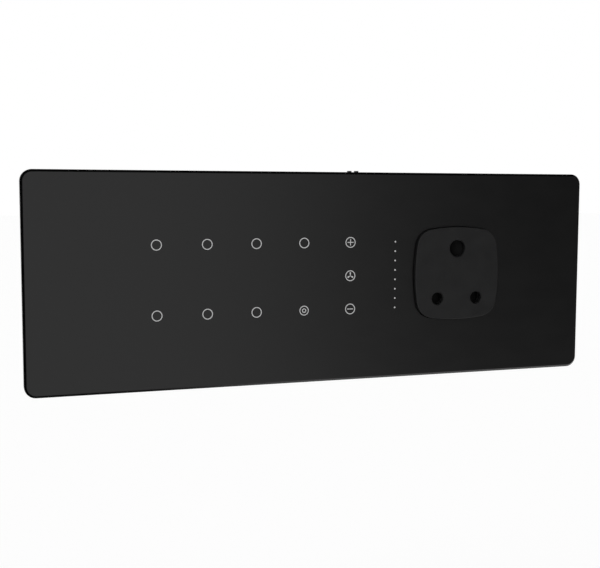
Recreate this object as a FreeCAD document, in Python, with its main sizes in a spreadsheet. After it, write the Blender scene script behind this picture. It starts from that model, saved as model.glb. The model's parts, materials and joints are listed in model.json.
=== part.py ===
import FreeCAD, Part
import math
import os
import Sketcher

# Touch switch panel with seven touch keys, a master key, a fan control and a three-pin socket
#
# X runs to the right as seen from the room, Y runs into the wall and Z is up.
# The origin is the middle of the fixing-screw pattern, in the plane of the wall.
# A height is measured from the wall towards the room, so it lies along -Y,
# and what stands inside the wall box has a negative height.

SIZES = {
    # Glass front
    "panel_width": 252.0,
    "panel_height": 90.0,
    "panel_corner": 4.7,
    "glass_thickness": 4.0,
    "glass_bevel": 1.0,
    # Touch marks, filled flush with the glass
    "mark_depth": 0.3,
    "mark_stroke": 0.37,
    "first_key_x": -73.23,
    "key_pitch": 21.07,
    "marks_z": 0.5,
    "row_spacing": 28.84,
    "ring_radius": 2.05,
    "fan_ring_radius": 2.13,
    "master_ring_radius": 1.9,
    "inner_ring_radius": 0.76,
    "arm_length": 2.75,
    "blade_reach": 1.15,
    "blade_tip_radius": 0.36,
    "blade_root_reach": 0.42,
    "blade_root_radius": 0.15,
    "dot_diameter": 0.75,
    "dot_pitch": 4.13,
    # Front carrier, the web and rim that hold the glass and clip to the base
    "glass_overhang": 2.0,
    "rim_wall": 2.0,
    "rim_lift": 0.3,
    "rim_corner": 3.0,
    "web_height": 5.0,
    "web_thickness": 1.5,
    "tape_thickness": 0.5,
    "tape_margin": 1.0,
    "layer_gap": 0.25,
    "window_gap": 0.35,
    "snap_spacing": 80.0,
    "snap_width": 10.0,
    "snap_thickness": 1.4,
    "snap_reach": 3.5,
    "snap_bump": 0.4,
    "snap_catch": 1.2,
    "snap_gap": 0.8,
    "lug_x": 13.9,
    "lug_pitch": 3.2,
    "lug_width": 1.5,
    "lug_rise": 0.62,
    "lug_tab_width": 8.0,
    # Touch board
    "board_thickness": 1.6,
    "board_gap": 0.5,
    "touch_board_left_margin": 10.8,
    "touch_board_right_margin": 4.2,
    "touch_board_height": 60.0,
    "rivet_radius": 1.0,
    "rivet_head_radius": 1.8,
    "rivet_head_height": 0.8,
    "rivet_bite": 0.9,
    "rivet_inset": 7.5,
    "fit_gap": 0.1,
    "electrode_radius": 4.5,
    "electrode_bore": 2.7,
    "film_height": 40.0,
    "led_width": 1.6,
    "led_length": 3.2,
    "led_height": 0.8,
    "dot_led_size": 1.2,
    "touch_chip_size": 9.0,
    "touch_chip_height": 1.2,
    "radio_width": 18.0,
    "radio_length": 22.0,
    "radio_board_thickness": 0.8,
    "radio_shield_inset": 1.5,
    "radio_shield_height": 2.0,
    # Base: wall flange and the two tubs welded to its back
    "flange_thickness": 2.5,
    "rim_clearance": 0.5,
    "tub_height": 64.0,
    "tub_seat": 0.3,
    "tub_depth": 28.0,
    "tub_wall": 2.0,
    "tub_corner": 3.0,
    "electronics_width": 134.0,
    "wire_space": 4.7,
    "fixing_spacing": 222.0,
    "fixing_slot_width": 4.0,
    "fixing_slot_length": 7.0,
    "vent_width": 2.5,
    "vent_length": 16.0,
    "vent_pitch": 6.0,
    "vent_z": 15.0,
    # Safety barrier between the mains board and the touch board
    "barrier_depth": 3.6,
    "barrier_thickness": 1.5,
    "barrier_gap": 0.4,
    "ledge_length": 10.0,
    "clip_proud": 1.0,
    "clip_thickness": 1.0,
    # Relay board and what stands on it
    "relay_board_depth": 22.0,
    "board_edge_gap": 2.0,
    "post_radius": 3.0,
    "post_inset": 4.5,
    "board_screw_radius": 1.25,
    "board_screw_bite": 3.2,
    "board_screw_head_radius": 2.4,
    "board_screw_head_height": 1.6,
    "recess_width": 0.6,
    "relay_width": 15.5,
    "relay_length": 19.0,
    "relay_height": 15.3,
    "relay_pitch": 16.3,
    "relay_edge_gap": 1.5,
    "relay_base_height": 1.2,
    "relay_case_wall": 0.9,
    "header_pitch": 2.54,
    "header_width": 5.0,
    "header_z": -2.2,
    "header_pin_size": 0.64,
    "header_hole_size": 1.2,
    "header_base_height": 2.5,
    "header_entry": 6.5,
    "header_below_barrier": 0.6,
    "barrier_slot_gap": 1.2,
    "power_width": 34.0,
    "power_length": 20.0,
    "power_height": 15.0,
    "power_x": -38.0,
    "upper_row_z": 15.0,
    "fuse_radius": 2.6,
    "fuse_length": 20.0,
    "fuse_cap_length": 5.0,
    "fuse_height": 4.6,
    "fuse_x": -9.0,
    "fuse_z": 20.5,
    "clip_wall": 0.4,
    "varistor_radius": 5.0,
    "varistor_thickness": 4.0,
    "varistor_height": 7.0,
    "varistor_x": -13.0,
    "varistor_z": 10.0,
    "capacitor_radius": 4.0,
    "capacitor_height": 12.0,
    "capacitor_pitch": 10.0,
    "capacitor_x": 4.0,
    "capacitor_z": 12.0,
    "driver_width": 19.0,
    "driver_length": 6.4,
    "driver_height": 3.5,
    "driver_x": -35.0,
    "driver_z": -1.8,
    "opto_width": 4.6,
    "opto_length": 6.4,
    "opto_pitch": 8.0,
    "opto_x": 22.0,
    "snubber_width": 6.0,
    "snubber_length": 13.0,
    "snubber_height": 12.0,
    "snubber_x": 26.0,
    "heatsink_x": 43.0,
    "heatsink_z": 19.0,
    "heatsink_width": 24.0,
    "heatsink_fin": 9.0,
    "heatsink_height": 14.0,
    "heatsink_wall": 1.8,
    "heatsink_fin_count": 5,
    "triac_width": 10.0,
    "triac_body_height": 9.0,
    "triac_tab_height": 14.0,
    "triac_tab_thickness": 1.3,
    "triac_body_thickness": 3.2,
    "triac_lift": 1.5,
    # Terminal blocks on the back of the relay board
    "pole_pitch": 7.62,
    "pole_count": 6,
    "block_spread": 31.0,
    "block_z": -14.0,
    "block_width": 11.0,
    "block_height": 14.0,
    "block_end_wall": 1.0,
    "block_wall": 1.2,
    "block_window_gap": 0.5,
    "clamp_gap": 0.15,
    "clamp_height": 7.0,
    "clamp_lip": 1.5,
    "wire_entry": 3.8,
    "clamp_wall": 0.9,
    "terminal_screw_radius": 1.5,
    "terminal_screw_head_radius": 2.1,
    "terminal_screw_head_height": 1.6,
    # Socket
    "socket_x": 61.6,
    "socket_z": 0.6,
    "insert_size": 41.2,
    "insert_side_radius": 80.0,
    "insert_corner_radius": 8.0,
    "insert_proud": 2.0,
    "insert_edge_round": 0.3,
    "insert_gap": 0.2,
    "insert_front_wall": 2.5,
    "insert_side_wall": 1.5,
    "insert_flange_width": 47.0,
    "insert_flange_thickness": 2.0,
    "cover_screw_radius": 1.5,
    "cover_screw_head_radius": 2.8,
    "cover_screw_head_height": 1.2,
    "cover_screw_length": 7.0,
    "cover_boss_radius": 3.5,
    "pin_spacing": 19.05,
    "earth_offset": 22.23,
    "earth_hole_radius": 3.65,
    "line_hole_radius": 2.65,
    "hole_chamfer": 0.4,
    "shutter_gap": 0.3,
    "shutter_plate": 2.0,
    "shutter_land": 0.2,
    "shutter_nose": 0.3,
    "shutter_stem_width": 8.1,
    "shutter_bar": 3.3,
    "spring_wire": 0.4,
    "spring_radius": 1.7,
    "spring_length": 10.0,
    "spring_turns": 6,
    "spring_post_width": 2.0,
    "spring_z": 0.8,
    "spring_seat": 5.0,
    "rib_width": 1.0,
    "rib_height": 2.0,
    "boss_height": 6.0,
    "block_size": 43.4,
    "block_depth": 21.5,
    "block_corner": 2.0,
    "lip_width": 1.2,
    "lip_thickness": 1.0,
    "back_plate_thickness": 1.5,
    "back_screw_radius": 1.25,
    "back_screw_bite": 6.0,
    "back_screw_x": 16.5,
    "back_screw_z": 4.0,
    "contact_front": 5.0,
    "earth_sleeve_length": 14.0,
    "line_sleeve_length": 12.0,
    "sleeve_gap": 0.05,
    "earth_pin_radius": 3.53,
    "line_pin_radius": 2.54,
    "sleeve_wall": 0.8,
    "sleeve_slit": 0.8,
    "sleeve_room": 0.25,
    "earth_pillar": 9.6,
    "line_pillar": 8.0,
    "pillar_bore": 1.9,
    "pillar_bore_depth": 15.5,
    "contact_screw_radius": 1.5,
    "contact_screw_head_radius": 2.6,
    "contact_screw_head_height": 1.8,
    "contact_screw_hole_gap": 0.3,
}

doc = FreeCAD.newDocument("switch_panel")
sheet = doc.addObject("Spreadsheet::Sheet", "Sizes")


class Size:
    """A length that carries its formula, so that features can be bound to it."""

    def __init__(self, value, formula=None):
        self.value = float(value)
        self.bound = formula is not None
        self.formula = formula if self.bound else "(%s)" % round(self.value, 6)

    def join(self, sign, other, value):
        other = as_size(other)
        if not self.bound and not other.bound:
            return Size(value)
        return Size(value, "(%s %s %s)" % (self.formula, sign, other.formula))

    def __add__(self, other):
        return self.join("+", other, self.value + float(other))

    def __sub__(self, other):
        return self.join("-", other, self.value - float(other))

    def __mul__(self, other):
        return self.join("*", other, self.value * float(other))

    def __truediv__(self, other):
        return self.join("/", other, self.value / float(other))

    def __radd__(self, other):
        return as_size(other) + self

    def __rsub__(self, other):
        return as_size(other) - self

    def __rmul__(self, other):
        return as_size(other) * self

    def __neg__(self):
        return Size(0) - self

    def __float__(self):
        return self.value


def as_size(item):
    """A plain number becomes a size with no formula."""
    return item if isinstance(item, Size) else Size(item)


class Names:
    """Every driving size under its own name."""


s = Names()
for row, (alias, value) in enumerate(SIZES.items(), start=1):
    sheet.set("A%d" % row, alias.replace("_", " "))
    sheet.set("B%d" % row, str(value))
    sheet.setAlias("B%d" % row, alias)
    setattr(s, alias, Size(value, "Sizes." + alias))
doc.recompute()


# Outlines for sketches
#
# Each outline function returns a drawing step that adds its own edges and
# dimensions to a sketch. Across and up are the sketch's own two directions.

ORIGIN = (-1, 1)
START, END, CENTRE = 1, 2, 3


class Drawing:
    """Gathers edges, constraints and bound dimensions, and writes them at once."""

    def __init__(self):
        self.edges = []
        self.constraints = []
        self.bindings = []

    def edge(self, shape):
        self.edges.append(shape)
        return len(self.edges) - 1

    def rule(self, *terms):
        self.constraints.append(Sketcher.Constraint(*terms))

    def dimension(self, kind, refs, length):
        length = as_size(length)
        if length.bound:
            self.bindings.append((len(self.constraints), length.formula))
        self.constraints.append(Sketcher.Constraint(kind, *refs, length.value))

    def place(self, edge, point, across, up):
        self.dimension("DistanceX", ORIGIN + (edge, point), across)
        self.dimension("DistanceY", ORIGIN + (edge, point), up)

    def write(self, sketch):
        sketch.addGeometry(self.edges, False)
        sketch.addConstraint(self.constraints)
        for index, formula in self.bindings:
            sketch.setExpression("Constraints[%d]" % index, formula)


def point(across, up):
    return FreeCAD.Vector(float(across), float(up), 0)


def circle(across, up, radius):
    def draw(drawing):
        edge = drawing.edge(Part.Circle(point(across, up), FreeCAD.Vector(0, 0, 1), float(radius)))
        drawing.place(edge, CENTRE, across, up)
        drawing.dimension("Radius", (edge,), radius)
    return draw


def ring(across, up, radius, stroke):
    """A ring given by its centre line and the width of its stroke."""
    outer = circle(across, up, radius + stroke / 2)
    inner = circle(across, up, radius - stroke / 2)

    def draw(drawing):
        outer(drawing)
        inner(drawing)
    return draw


def polygon(*corners):
    """Straight edges through corners that are each placed from the origin."""
    def draw(drawing):
        count = len(corners)
        first = len(drawing.edges)
        for number in range(count):
            here = point(*corners[number])
            there = point(*corners[(number + 1) % count])
            drawing.edge(Part.LineSegment(here, there))
        for number in range(count):
            following = first + (number + 1) % count
            drawing.rule("Coincident", first + number, END, following, START)
            drawing.place(first + number, START, *corners[number])
    return draw


def rect(across, up, width, height):
    """A rectangle about its middle."""
    left = across - width / 2
    low = up - height / 2
    right = left + width
    high = low + height

    def draw(drawing):
        corners = [point(left, low), point(right, low), point(right, high), point(left, high)]
        first = len(drawing.edges)
        for number in range(4):
            drawing.edge(Part.LineSegment(corners[number], corners[(number + 1) % 4]))
        for number in range(4):
            drawing.rule("Coincident", first + number, END, first + (number + 1) % 4, START)
        for number in (0, 2):
            drawing.rule("Horizontal", first + number)
            drawing.rule("Vertical", first + number + 1)
        drawing.place(first, START, left, low)
        drawing.dimension("DistanceX", (first, START, first, END), width)
        drawing.dimension("DistanceY", (first + 1, START, first + 1, END), height)
    return draw


def arc(centre, radius, start, finish):
    """An arc drawn anticlockwise between two angles in degrees."""
    whole = Part.Circle(centre, FreeCAD.Vector(0, 0, 1), float(radius))
    return Part.ArcOfCircle(whole, math.radians(start), math.radians(finish))


def rounded(across, up, width, height, radius):
    """A rectangle about its middle with four equal round corners."""
    across, up, width, height, radius = map(as_size, (across, up, width, height, radius))
    left = across - width / 2 + radius
    right = across + width / 2 - radius
    low = up - height / 2 + radius
    high = up + height / 2 - radius

    def draw(drawing):
        centres = [(left, low), (right, low), (right, high), (left, high)]
        starts = [180, 270, 0, 90]
        arcs = []
        for centre, start in zip(centres, starts):
            edge = drawing.edge(arc(point(*centre), radius, start, start + 90))
            drawing.place(edge, CENTRE, *centre)
            drawing.dimension("Radius", (edge,), radius)
            arcs.append(edge)
        for number in range(4):
            here = drawing.edges[arcs[number]]
            there = drawing.edges[arcs[(number + 1) % 4]]
            side = drawing.edge(Part.LineSegment(here.EndPoint, there.StartPoint))
            drawing.rule("Tangent", arcs[number], END, side, START)
            drawing.rule("Tangent", side, END, arcs[(number + 1) % 4], START)
    return draw


def slot(ax, ay, a_radius, bx, by, b_radius):
    """Two round ends, which may differ in size, joined by their outer tangents."""
    ends = (point(ax, ay), point(bx, by))
    along = ends[1] - ends[0]
    heading = math.degrees(math.atan2(along.y, along.x))
    spread = 90 + math.degrees(math.asin((float(b_radius) - float(a_radius)) / along.Length))

    def draw(drawing):
        near = drawing.edge(arc(ends[0], a_radius, heading + spread, heading + 360 - spread))
        far = drawing.edge(arc(ends[1], b_radius, heading - spread, heading + spread))
        drawing.place(near, CENTRE, ax, ay)
        drawing.place(far, CENTRE, bx, by)
        drawing.dimension("Radius", (near,), a_radius)
        drawing.dimension("Radius", (far,), b_radius)
        for one, other in ((near, far), (far, near)):
            side = drawing.edge(
                Part.LineSegment(drawing.edges[one].EndPoint, drawing.edges[other].StartPoint)
            )
            drawing.rule("Tangent", one, END, side, START)
            drawing.rule("Tangent", side, END, other, START)
    return draw


def squircle(across, up, half, grow=0):
    """The soft square of the socket: four shallow sides and four round corners.

    Grow moves the whole outline outwards by the same distance.
    """
    side = s.insert_side_radius + grow
    corner = s.insert_corner_radius + grow
    centre_back = s.insert_side_radius - half
    reach = float(s.insert_side_radius - s.insert_corner_radius)
    back = float(centre_back)
    diagonal = (math.sqrt(2 * reach ** 2 - back ** 2) - back) / 2
    middle = point(across, up)
    # The side's end lies on the line through its own centre and the corner's centre
    lean = math.degrees(math.atan2(diagonal, diagonal + back))

    def draw(drawing):
        sides = []
        corners = []
        for quarter in range(4):
            turn = 90 * quarter
            cosine, sine = round(math.cos(math.radians(turn))), round(math.sin(math.radians(turn)))
            side_centre = (across - centre_back * cosine, up - centre_back * sine)
            edge = drawing.edge(arc(point(*side_centre), side, turn - lean, turn + lean))
            drawing.place(edge, CENTRE, *side_centre)
            drawing.dimension("Radius", (edge,), side)
            sides.append(edge)
            away = FreeCAD.Vector(cosine - sine, sine + cosine, 0) * diagonal
            edge = drawing.edge(arc(middle + away, corner, turn + lean, turn + 90 - lean))
            drawing.dimension("Radius", (edge,), corner)
            corners.append(edge)
        for quarter in range(4):
            drawing.rule("Tangent", sides[quarter], END, corners[quarter], START)
            drawing.rule("Tangent", corners[quarter], END, sides[(quarter + 1) % 4], START)
    return draw


# Features
#
# Plates are drawn facing the room and grow in height. What runs up and down
# is drawn in plan, where the sketch's up direction is depth into the wall.

def new_body(label, x=None, z=None):
    body = doc.addObject("PartDesign::Body", label)
    body.Label = label
    if x is not None:
        body.setExpression(".Placement.Base.x", x.formula)
        body.setExpression(".Placement.Base.z", z.formula)
        body.Placement = FreeCAD.Placement(FreeCAD.Vector(float(x), 0, float(z)), FreeCAD.Rotation())
    return body


def sketch(body, role, level, outlines):
    plane = [part for part in body.Origin.OriginFeatures if part.Role == role][0]
    drawn = body.newObject("Sketcher::SketchObject", body.Label + "_outline")
    drawn.AttachmentSupport = [(plane, "")]
    drawn.MapMode = "FlatFace"
    level = as_size(level)
    drawn.AttachmentOffset = FreeCAD.Placement(FreeCAD.Vector(0, 0, level.value), FreeCAD.Rotation())
    if level.bound:
        drawn.setExpression(".AttachmentOffset.Base.z", level.formula)
    drawing = Drawing()
    for outline in outlines:
        outline(drawing)
    drawing.write(drawn)
    return drawn


def extrude(body, kind, role, level, length, outlines):
    drawn = sketch(body, role, level, outlines)
    feature = body.newObject("PartDesign::" + kind, body.Label + "_" + kind.lower())
    feature.Profile = drawn
    length = as_size(length)
    feature.Length = length.value
    if length.bound:
        feature.setExpression("Length", length.formula)
    return feature


def add(body, low, high, *outlines):
    """Material between two heights."""
    return extrude(body, "Pad", "XZ_Plane", low, as_size(high) - low, outlines)


def cut(body, high, low, *outlines):
    """A pocket from a height towards the wall."""
    return extrude(body, "Pocket", "XZ_Plane", high, as_size(high) - low, outlines)


def add_up(body, bottom, top, *outlines):
    """Material between two levels of Z, drawn in plan as (x, minus height)."""
    return extrude(body, "Pad", "XY_Plane", bottom, as_size(top) - bottom, outlines)


def cut_down(body, top, bottom, *outlines):
    """A pocket downwards from a level of Z, drawn in plan as (x, minus height)."""
    return extrude(body, "Pocket", "XY_Plane", top, as_size(top) - bottom, outlines)


def front_edges(shape, height):
    """Names of the edges that lie wholly at one height."""
    names = []
    for number, edge in enumerate(shape.Edges, start=1):
        box = edge.BoundBox
        if abs(box.YMin + float(height)) < 1e-4 and abs(box.YMax + float(height)) < 1e-4:
            names.append("Edge%d" % number)
    return names


def soften(body, kind, feature, height, size):
    """A fillet or chamfer on every edge of a feature at one height."""
    doc.recompute()
    edges = front_edges(feature.Shape, height)
    softened = body.newObject("PartDesign::" + kind, body.Label + "_" + kind.lower())
    softened.Base = (feature, edges)
    name = "Radius" if kind == "Fillet" else "Size"
    setattr(softened, name, size.value)
    softened.setExpression(name, size.formula)
    return softened


def pairs(first, second):
    return [(one, other) for one in first for other in second]


# Levels and lines that several pieces share

glass_back = s.web_height + s.web_thickness + s.tape_thickness
glass_front = glass_back + s.glass_thickness
web_front = s.web_height + s.web_thickness
carrier_width = s.panel_width - 2 * s.glass_overhang
carrier_height = s.panel_height - 2 * s.glass_overhang
rim_inner_width = carrier_width - 2 * s.rim_wall
rim_inner_height = carrier_height - 2 * s.rim_wall
flange_width = rim_inner_width - 2 * s.rim_clearance
flange_height = rim_inner_height - 2 * s.rim_clearance
upper_row = s.marks_z + s.row_spacing / 2
lower_row = s.marks_z - s.row_spacing / 2
key_columns = [s.first_key_x + s.key_pitch * number for number in range(5)]
fan_column = key_columns[4]
dot_column = s.first_key_x + s.key_pitch * 5
dot_levels = [s.marks_z + s.dot_pitch * (3.5 - number) for number in range(8)]
plain_keys = pairs(key_columns[:4], [upper_row]) + pairs(key_columns[:3], [lower_row])
master_key = (key_columns[3], lower_row)
fan_keys = [(fan_column, upper_row), (fan_column, s.marks_z), (fan_column, lower_row)]
all_keys = plain_keys + [master_key] + fan_keys
touch_board_front = s.web_height - s.board_gap
touch_board_back = touch_board_front - s.board_thickness
touch_board_left = s.first_key_x - s.touch_board_left_margin
touch_board_right = dot_column + s.touch_board_right_margin
touch_board_x = (touch_board_left + touch_board_right) / 2
touch_board_width = touch_board_right - touch_board_left
socket_half = s.block_size / 2 + s.wire_space
socket_left_inner = s.socket_x - socket_half
electronics_right = socket_left_inner - 2 * s.tub_wall
electronics_left = electronics_right - s.electronics_width
electronics_x = (electronics_left + electronics_right) / 2
tub_inner_height = s.tub_height - 2 * s.tub_wall
electronics_outer = s.electronics_width + 2 * s.tub_wall
socket_outer = 2 * (socket_half + s.tub_wall)
tub_floor = s.tub_wall - s.tub_depth
relay_board_front = -s.relay_board_depth
relay_board_back = relay_board_front - s.board_thickness
relay_board_width = s.electronics_width - 2 * s.board_edge_gap
relay_board_height = tub_inner_height - 2 * s.board_edge_gap
barrier_front = -s.barrier_depth
barrier_back = barrier_front - s.barrier_thickness
header_length = 10 * s.header_pitch + s.header_pitch / 2
header_pins = [electronics_x + s.header_pitch * (number - 4.5) for number in range(10)]
insert_half = s.insert_size / 2
insert_front = glass_front + s.insert_proud
insert_flange_top = s.flange_thickness + s.insert_flange_thickness
cover_screw_offset = s.block_size / 2 + s.fit_gap + s.cover_boss_radius
cover_flange_height = 2 * (cover_screw_offset + s.cover_screw_head_radius) + 1
earth_z = s.earth_offset / 2
line_z = -s.earth_offset / 2
line_x = s.pin_spacing / 2
neutral_x = -s.pin_spacing / 2


# Touch marks

def rings(keys, radius):
    return [ring(x, z, radius, s.mark_stroke) for x, z in keys]


def plus_bars():
    x, z = fan_keys[0]
    reach = s.arm_length / 2
    half = s.mark_stroke / 2
    corners = [
        (x + half, z + half), (x + reach, z + half), (x + reach, z - half), (x + half, z - half),
        (x + half, z - reach), (x - half, z - reach), (x - half, z - half), (x - reach, z - half),
        (x - reach, z + half), (x - half, z + half), (x - half, z + reach), (x + half, z + reach),
    ]
    return polygon(*corners)


def minus_bar():
    x, z = fan_keys[2]
    return rect(x, z, s.arm_length, s.mark_stroke)


def fan_blades():
    x, z = fan_keys[1]
    blades = []
    for degrees in (90, 210, 330):
        cosine = round(math.cos(math.radians(degrees)), 6)
        sine = round(math.sin(math.radians(degrees)), 6)
        blades.append(slot(
            x + s.blade_root_reach * cosine, z + s.blade_root_reach * sine, s.blade_root_radius,
            x + s.blade_reach * cosine, z + s.blade_reach * sine, s.blade_tip_radius,
        ))
    return blades


key_marks = rings(plain_keys, s.ring_radius)
master_marks = rings([master_key], s.master_ring_radius) + rings([master_key], s.inner_ring_radius)
fan_marks = rings(fan_keys, s.fan_ring_radius) + [plus_bars(), minus_bar()] + fan_blades()
dot_marks = [circle(dot_column, z, s.dot_diameter / 2) for z in dot_levels]
mark_floor = glass_front - s.mark_depth

# Glass panel, bevelled round its front edge and cut for the socket
glass = new_body("glass_panel")
sheet_of_glass = add(
    glass, glass_back, glass_front, rounded(0, 0, s.panel_width, s.panel_height, s.panel_corner)
)
soften(glass, "Chamfer", sheet_of_glass, glass_front, s.glass_bevel)
cut(glass, glass_front, glass_back, squircle(s.socket_x, s.socket_z, insert_half, s.insert_gap))
cut(glass, glass_front, mark_floor, *(key_marks + master_marks + fan_marks + dot_marks))

add(new_body("key_ring_inlays"), mark_floor, glass_front, *key_marks)
add(new_body("master_key_inlay"), mark_floor, glass_front, *master_marks)
add(new_body("fan_key_inlays"), mark_floor, glass_front, *fan_marks)
add(new_body("speed_dot_inlays"), mark_floor, glass_front, *dot_marks)

# Diffuser film behind the marks, and the tape frame round it that bonds the glass
film_outline = rect(touch_board_x, s.marks_z, touch_board_width, s.film_height)
tape_window = rect(
    touch_board_x, s.marks_z,
    touch_board_width + 2 * s.layer_gap, s.film_height + 2 * s.layer_gap,
)
socket_window = squircle(s.socket_x, s.socket_z, insert_half, s.insert_gap + s.layer_gap)
add(new_body("diffuser_film"), web_front, glass_back, film_outline)
tape = new_body("bonding_tape")
add(
    tape, web_front, glass_back,
    rounded(0, 0, carrier_width - 2 * s.tape_margin, carrier_height - 2 * s.tape_margin, s.rim_corner),
    tape_window, socket_window,
)

# Front carrier: the web behind the glass, with electrode windows and pull-off lugs
carrier = new_body("front_carrier")
add(carrier, s.web_height, web_front, rounded(0, 0, carrier_width, carrier_height, s.rim_corner))
electrode_windows = [circle(x, z, s.electrode_radius + s.window_gap) for x, z in all_keys]
dot_window = rect(
    dot_column, s.marks_z,
    s.dot_led_size + 4 * s.window_gap, s.dot_pitch * 7 + s.dot_led_size + 4 * s.window_gap,
)
cut(carrier, web_front, s.web_height, socket_window, dot_window, *electrode_windows)
rivet_columns = [
    touch_board_left + s.rivet_inset, touch_board_x, touch_board_right - s.rivet_inset,
]
rivet_rows = [s.rivet_inset - s.touch_board_height / 2, s.touch_board_height / 2 - s.rivet_inset]
rivets = pairs(rivet_columns, rivet_rows)
rivet_holes = [circle(x, z, s.rivet_radius + s.fit_gap) for x, z in rivets]
cut(carrier, s.web_height + s.rivet_bite, s.web_height, *rivet_holes)
lug_top = s.panel_height / 2 + s.lug_rise
tab_top = s.panel_height / 2 - s.layer_gap
rim_top = carrier_height / 2 - s.rim_wall / 2
add(
    carrier, s.web_height, web_front,
    polygon(
        (s.lug_x - s.lug_tab_width / 2, rim_top), (s.lug_x + s.lug_tab_width / 2, rim_top),
        (s.lug_x + s.lug_tab_width / 2, tab_top), (s.lug_x - s.lug_tab_width / 2, tab_top),
    ),
)
for side in (-1, 1):
    lug = s.lug_x + side * s.lug_pitch / 2
    add(
        carrier, s.web_height, web_front,
        polygon(
            (lug - s.lug_width / 2, tab_top - s.layer_gap), (lug + s.lug_width / 2, tab_top - s.layer_gap),
            (lug + s.lug_width / 2, lug_top), (lug - s.lug_width / 2, lug_top),
        ),
    )

# Rim that stands back from the edge of the web and hides the wall flange
rim = new_body("carrier_rim")
add(
    rim, s.rim_lift, s.web_height,
    rounded(0, 0, carrier_width, carrier_height, s.rim_corner),
    rounded(0, 0, rim_inner_width, rim_inner_height, s.rim_corner / 2),
)

# Six snap prongs that catch behind the wall flange
prongs = new_body("snap_prongs")
snap_columns = [-s.snap_spacing, as_size(0), s.snap_spacing]
snap_row = (s.tub_height + flange_height) / 4
snaps = pairs(snap_columns, [-snap_row, snap_row])
snap_tip = -s.snap_reach
add(
    prongs, snap_tip, s.web_height,
    *[rect(x, z, s.snap_width, s.snap_thickness) for x, z in snaps],
)
bump_depth = s.snap_thickness + s.snap_bump
add(
    prongs, snap_tip, snap_tip + s.snap_catch,
    *[rect(x, -snap_row - s.snap_bump / 2, s.snap_width, bump_depth) for x in snap_columns],
    *[rect(x, snap_row + s.snap_bump / 2, s.snap_width, bump_depth) for x in snap_columns],
)

# Push rivets that hold the touch board to the web
board_rivets = new_body("board_rivets")
add(
    board_rivets, touch_board_front, s.web_height,
    *[circle(x, z, s.rivet_head_radius) for x, z in rivets],
)
add(
    board_rivets, s.web_height, s.web_height + s.rivet_bite - s.fit_gap,
    *[circle(x, z, s.rivet_radius) for x, z in rivets],
)
add(
    board_rivets, touch_board_back, touch_board_front,
    *[circle(x, z, s.rivet_radius) for x, z in rivets],
)
add(
    board_rivets, touch_board_back - s.rivet_head_height, touch_board_back,
    *[circle(x, z, s.rivet_head_radius) for x, z in rivets],
)

# Touch board with its electrodes, lamps, chip, radio and plug
touch_board = new_body("touch_board")
add(
    touch_board, touch_board_back, touch_board_front,
    rect(touch_board_x, 0, touch_board_width, s.touch_board_height),
    *rivet_holes,
)
add(
    new_body("touch_electrodes"), touch_board_front, web_front,
    *[circle(x, z, s.electrode_radius) for x, z in all_keys],
    *[circle(x, z, s.electrode_bore) for x, z in all_keys],
)
add(
    new_body("key_lamps"), touch_board_front, touch_board_front + s.led_height,
    *[rect(x, z, s.led_length, s.led_width) for x, z in all_keys],
)
add(
    new_body("speed_lamps"), touch_board_front, touch_board_front + s.led_height,
    *[rect(dot_column, z, s.dot_led_size, s.dot_led_size) for z in dot_levels],
)
add(
    new_body("touch_chip"), touch_board_back - s.touch_chip_height, touch_board_back,
    rect(key_columns[3], s.marks_z, s.touch_chip_size, s.touch_chip_size),
)
radio_x = key_columns[0] + s.radio_width / 2
radio_back = touch_board_back - s.radio_board_thickness
add(
    new_body("radio_board"), radio_back, touch_board_back,
    rect(radio_x, 0, s.radio_width, s.radio_length),
)
add(
    new_body("radio_shield"), radio_back - s.radio_shield_height, radio_back,
    rect(
        radio_x, -s.radio_shield_inset,
        s.radio_width - 2 * s.radio_shield_inset, s.radio_length - 4 * s.radio_shield_inset,
    ),
)
header_base_back = touch_board_back - s.header_base_height
header_socket_top = barrier_back - s.header_below_barrier
header_base = new_body("header_base")
add(
    header_base, header_base_back, touch_board_back,
    rect(electronics_x, s.header_z, header_length, s.header_width / 2),
)
cut(
    header_base, touch_board_back, header_base_back,
    *[rect(x, s.header_z, s.header_pin_size, s.header_pin_size) for x in header_pins],
)
add(
    new_body("header_pins"), header_socket_top - s.header_entry + s.window_gap, touch_board_back,
    *[rect(x, s.header_z, s.header_pin_size, s.header_pin_size) for x in header_pins],
)

# Wall flange with its screw slots, snap windows, seats for the two tubs and screw bosses
flange = new_body("wall_flange")
add(flange, 0, s.flange_thickness, rounded(0, 0, flange_width, flange_height, s.rim_corner / 2))
block_opening = s.block_size + 2 * s.fit_gap
lip_size = s.block_size + 2 * s.lip_width
lip_opening = lip_size + 2 * s.fit_gap
cover_screws = [(s.socket_x, s.socket_z + side * cover_screw_offset) for side in (-1, 1)]
cover_boss_back = insert_flange_top - s.cover_screw_length - s.tub_wall
for x, outer_width in [(electronics_x, electronics_outer), (s.socket_x, socket_outer)]:
    cut(flange, s.tub_seat, 0, rounded(x, 0, outer_width, s.tub_height, s.tub_corner))
add(
    flange, cover_boss_back, s.tub_seat,
    *[circle(x, z, s.cover_boss_radius) for x, z in cover_screws],
)
cut(
    flange, s.flange_thickness, 0,
    rounded(electronics_x, 0, s.electronics_width, tub_inner_height, s.tub_corner / 2),
)
cut(
    flange, s.flange_thickness, cover_boss_back,
    rounded(s.socket_x, s.socket_z, block_opening, block_opening, s.block_corner),
)
cut(
    flange, s.flange_thickness, s.flange_thickness - s.lip_thickness,
    rounded(s.socket_x, s.socket_z, lip_opening, lip_opening, s.block_corner),
)
cut(
    flange, s.flange_thickness, insert_flange_top - s.cover_screw_length - s.fit_gap,
    *[circle(x, z, s.cover_screw_radius) for x, z in cover_screws],
)
snap_windows = [
    rect(x, z, s.snap_width + 2 * s.snap_gap, s.snap_thickness + 2 * s.snap_gap) for x, z in snaps
]
cut(flange, s.flange_thickness, 0, *snap_windows)
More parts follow.
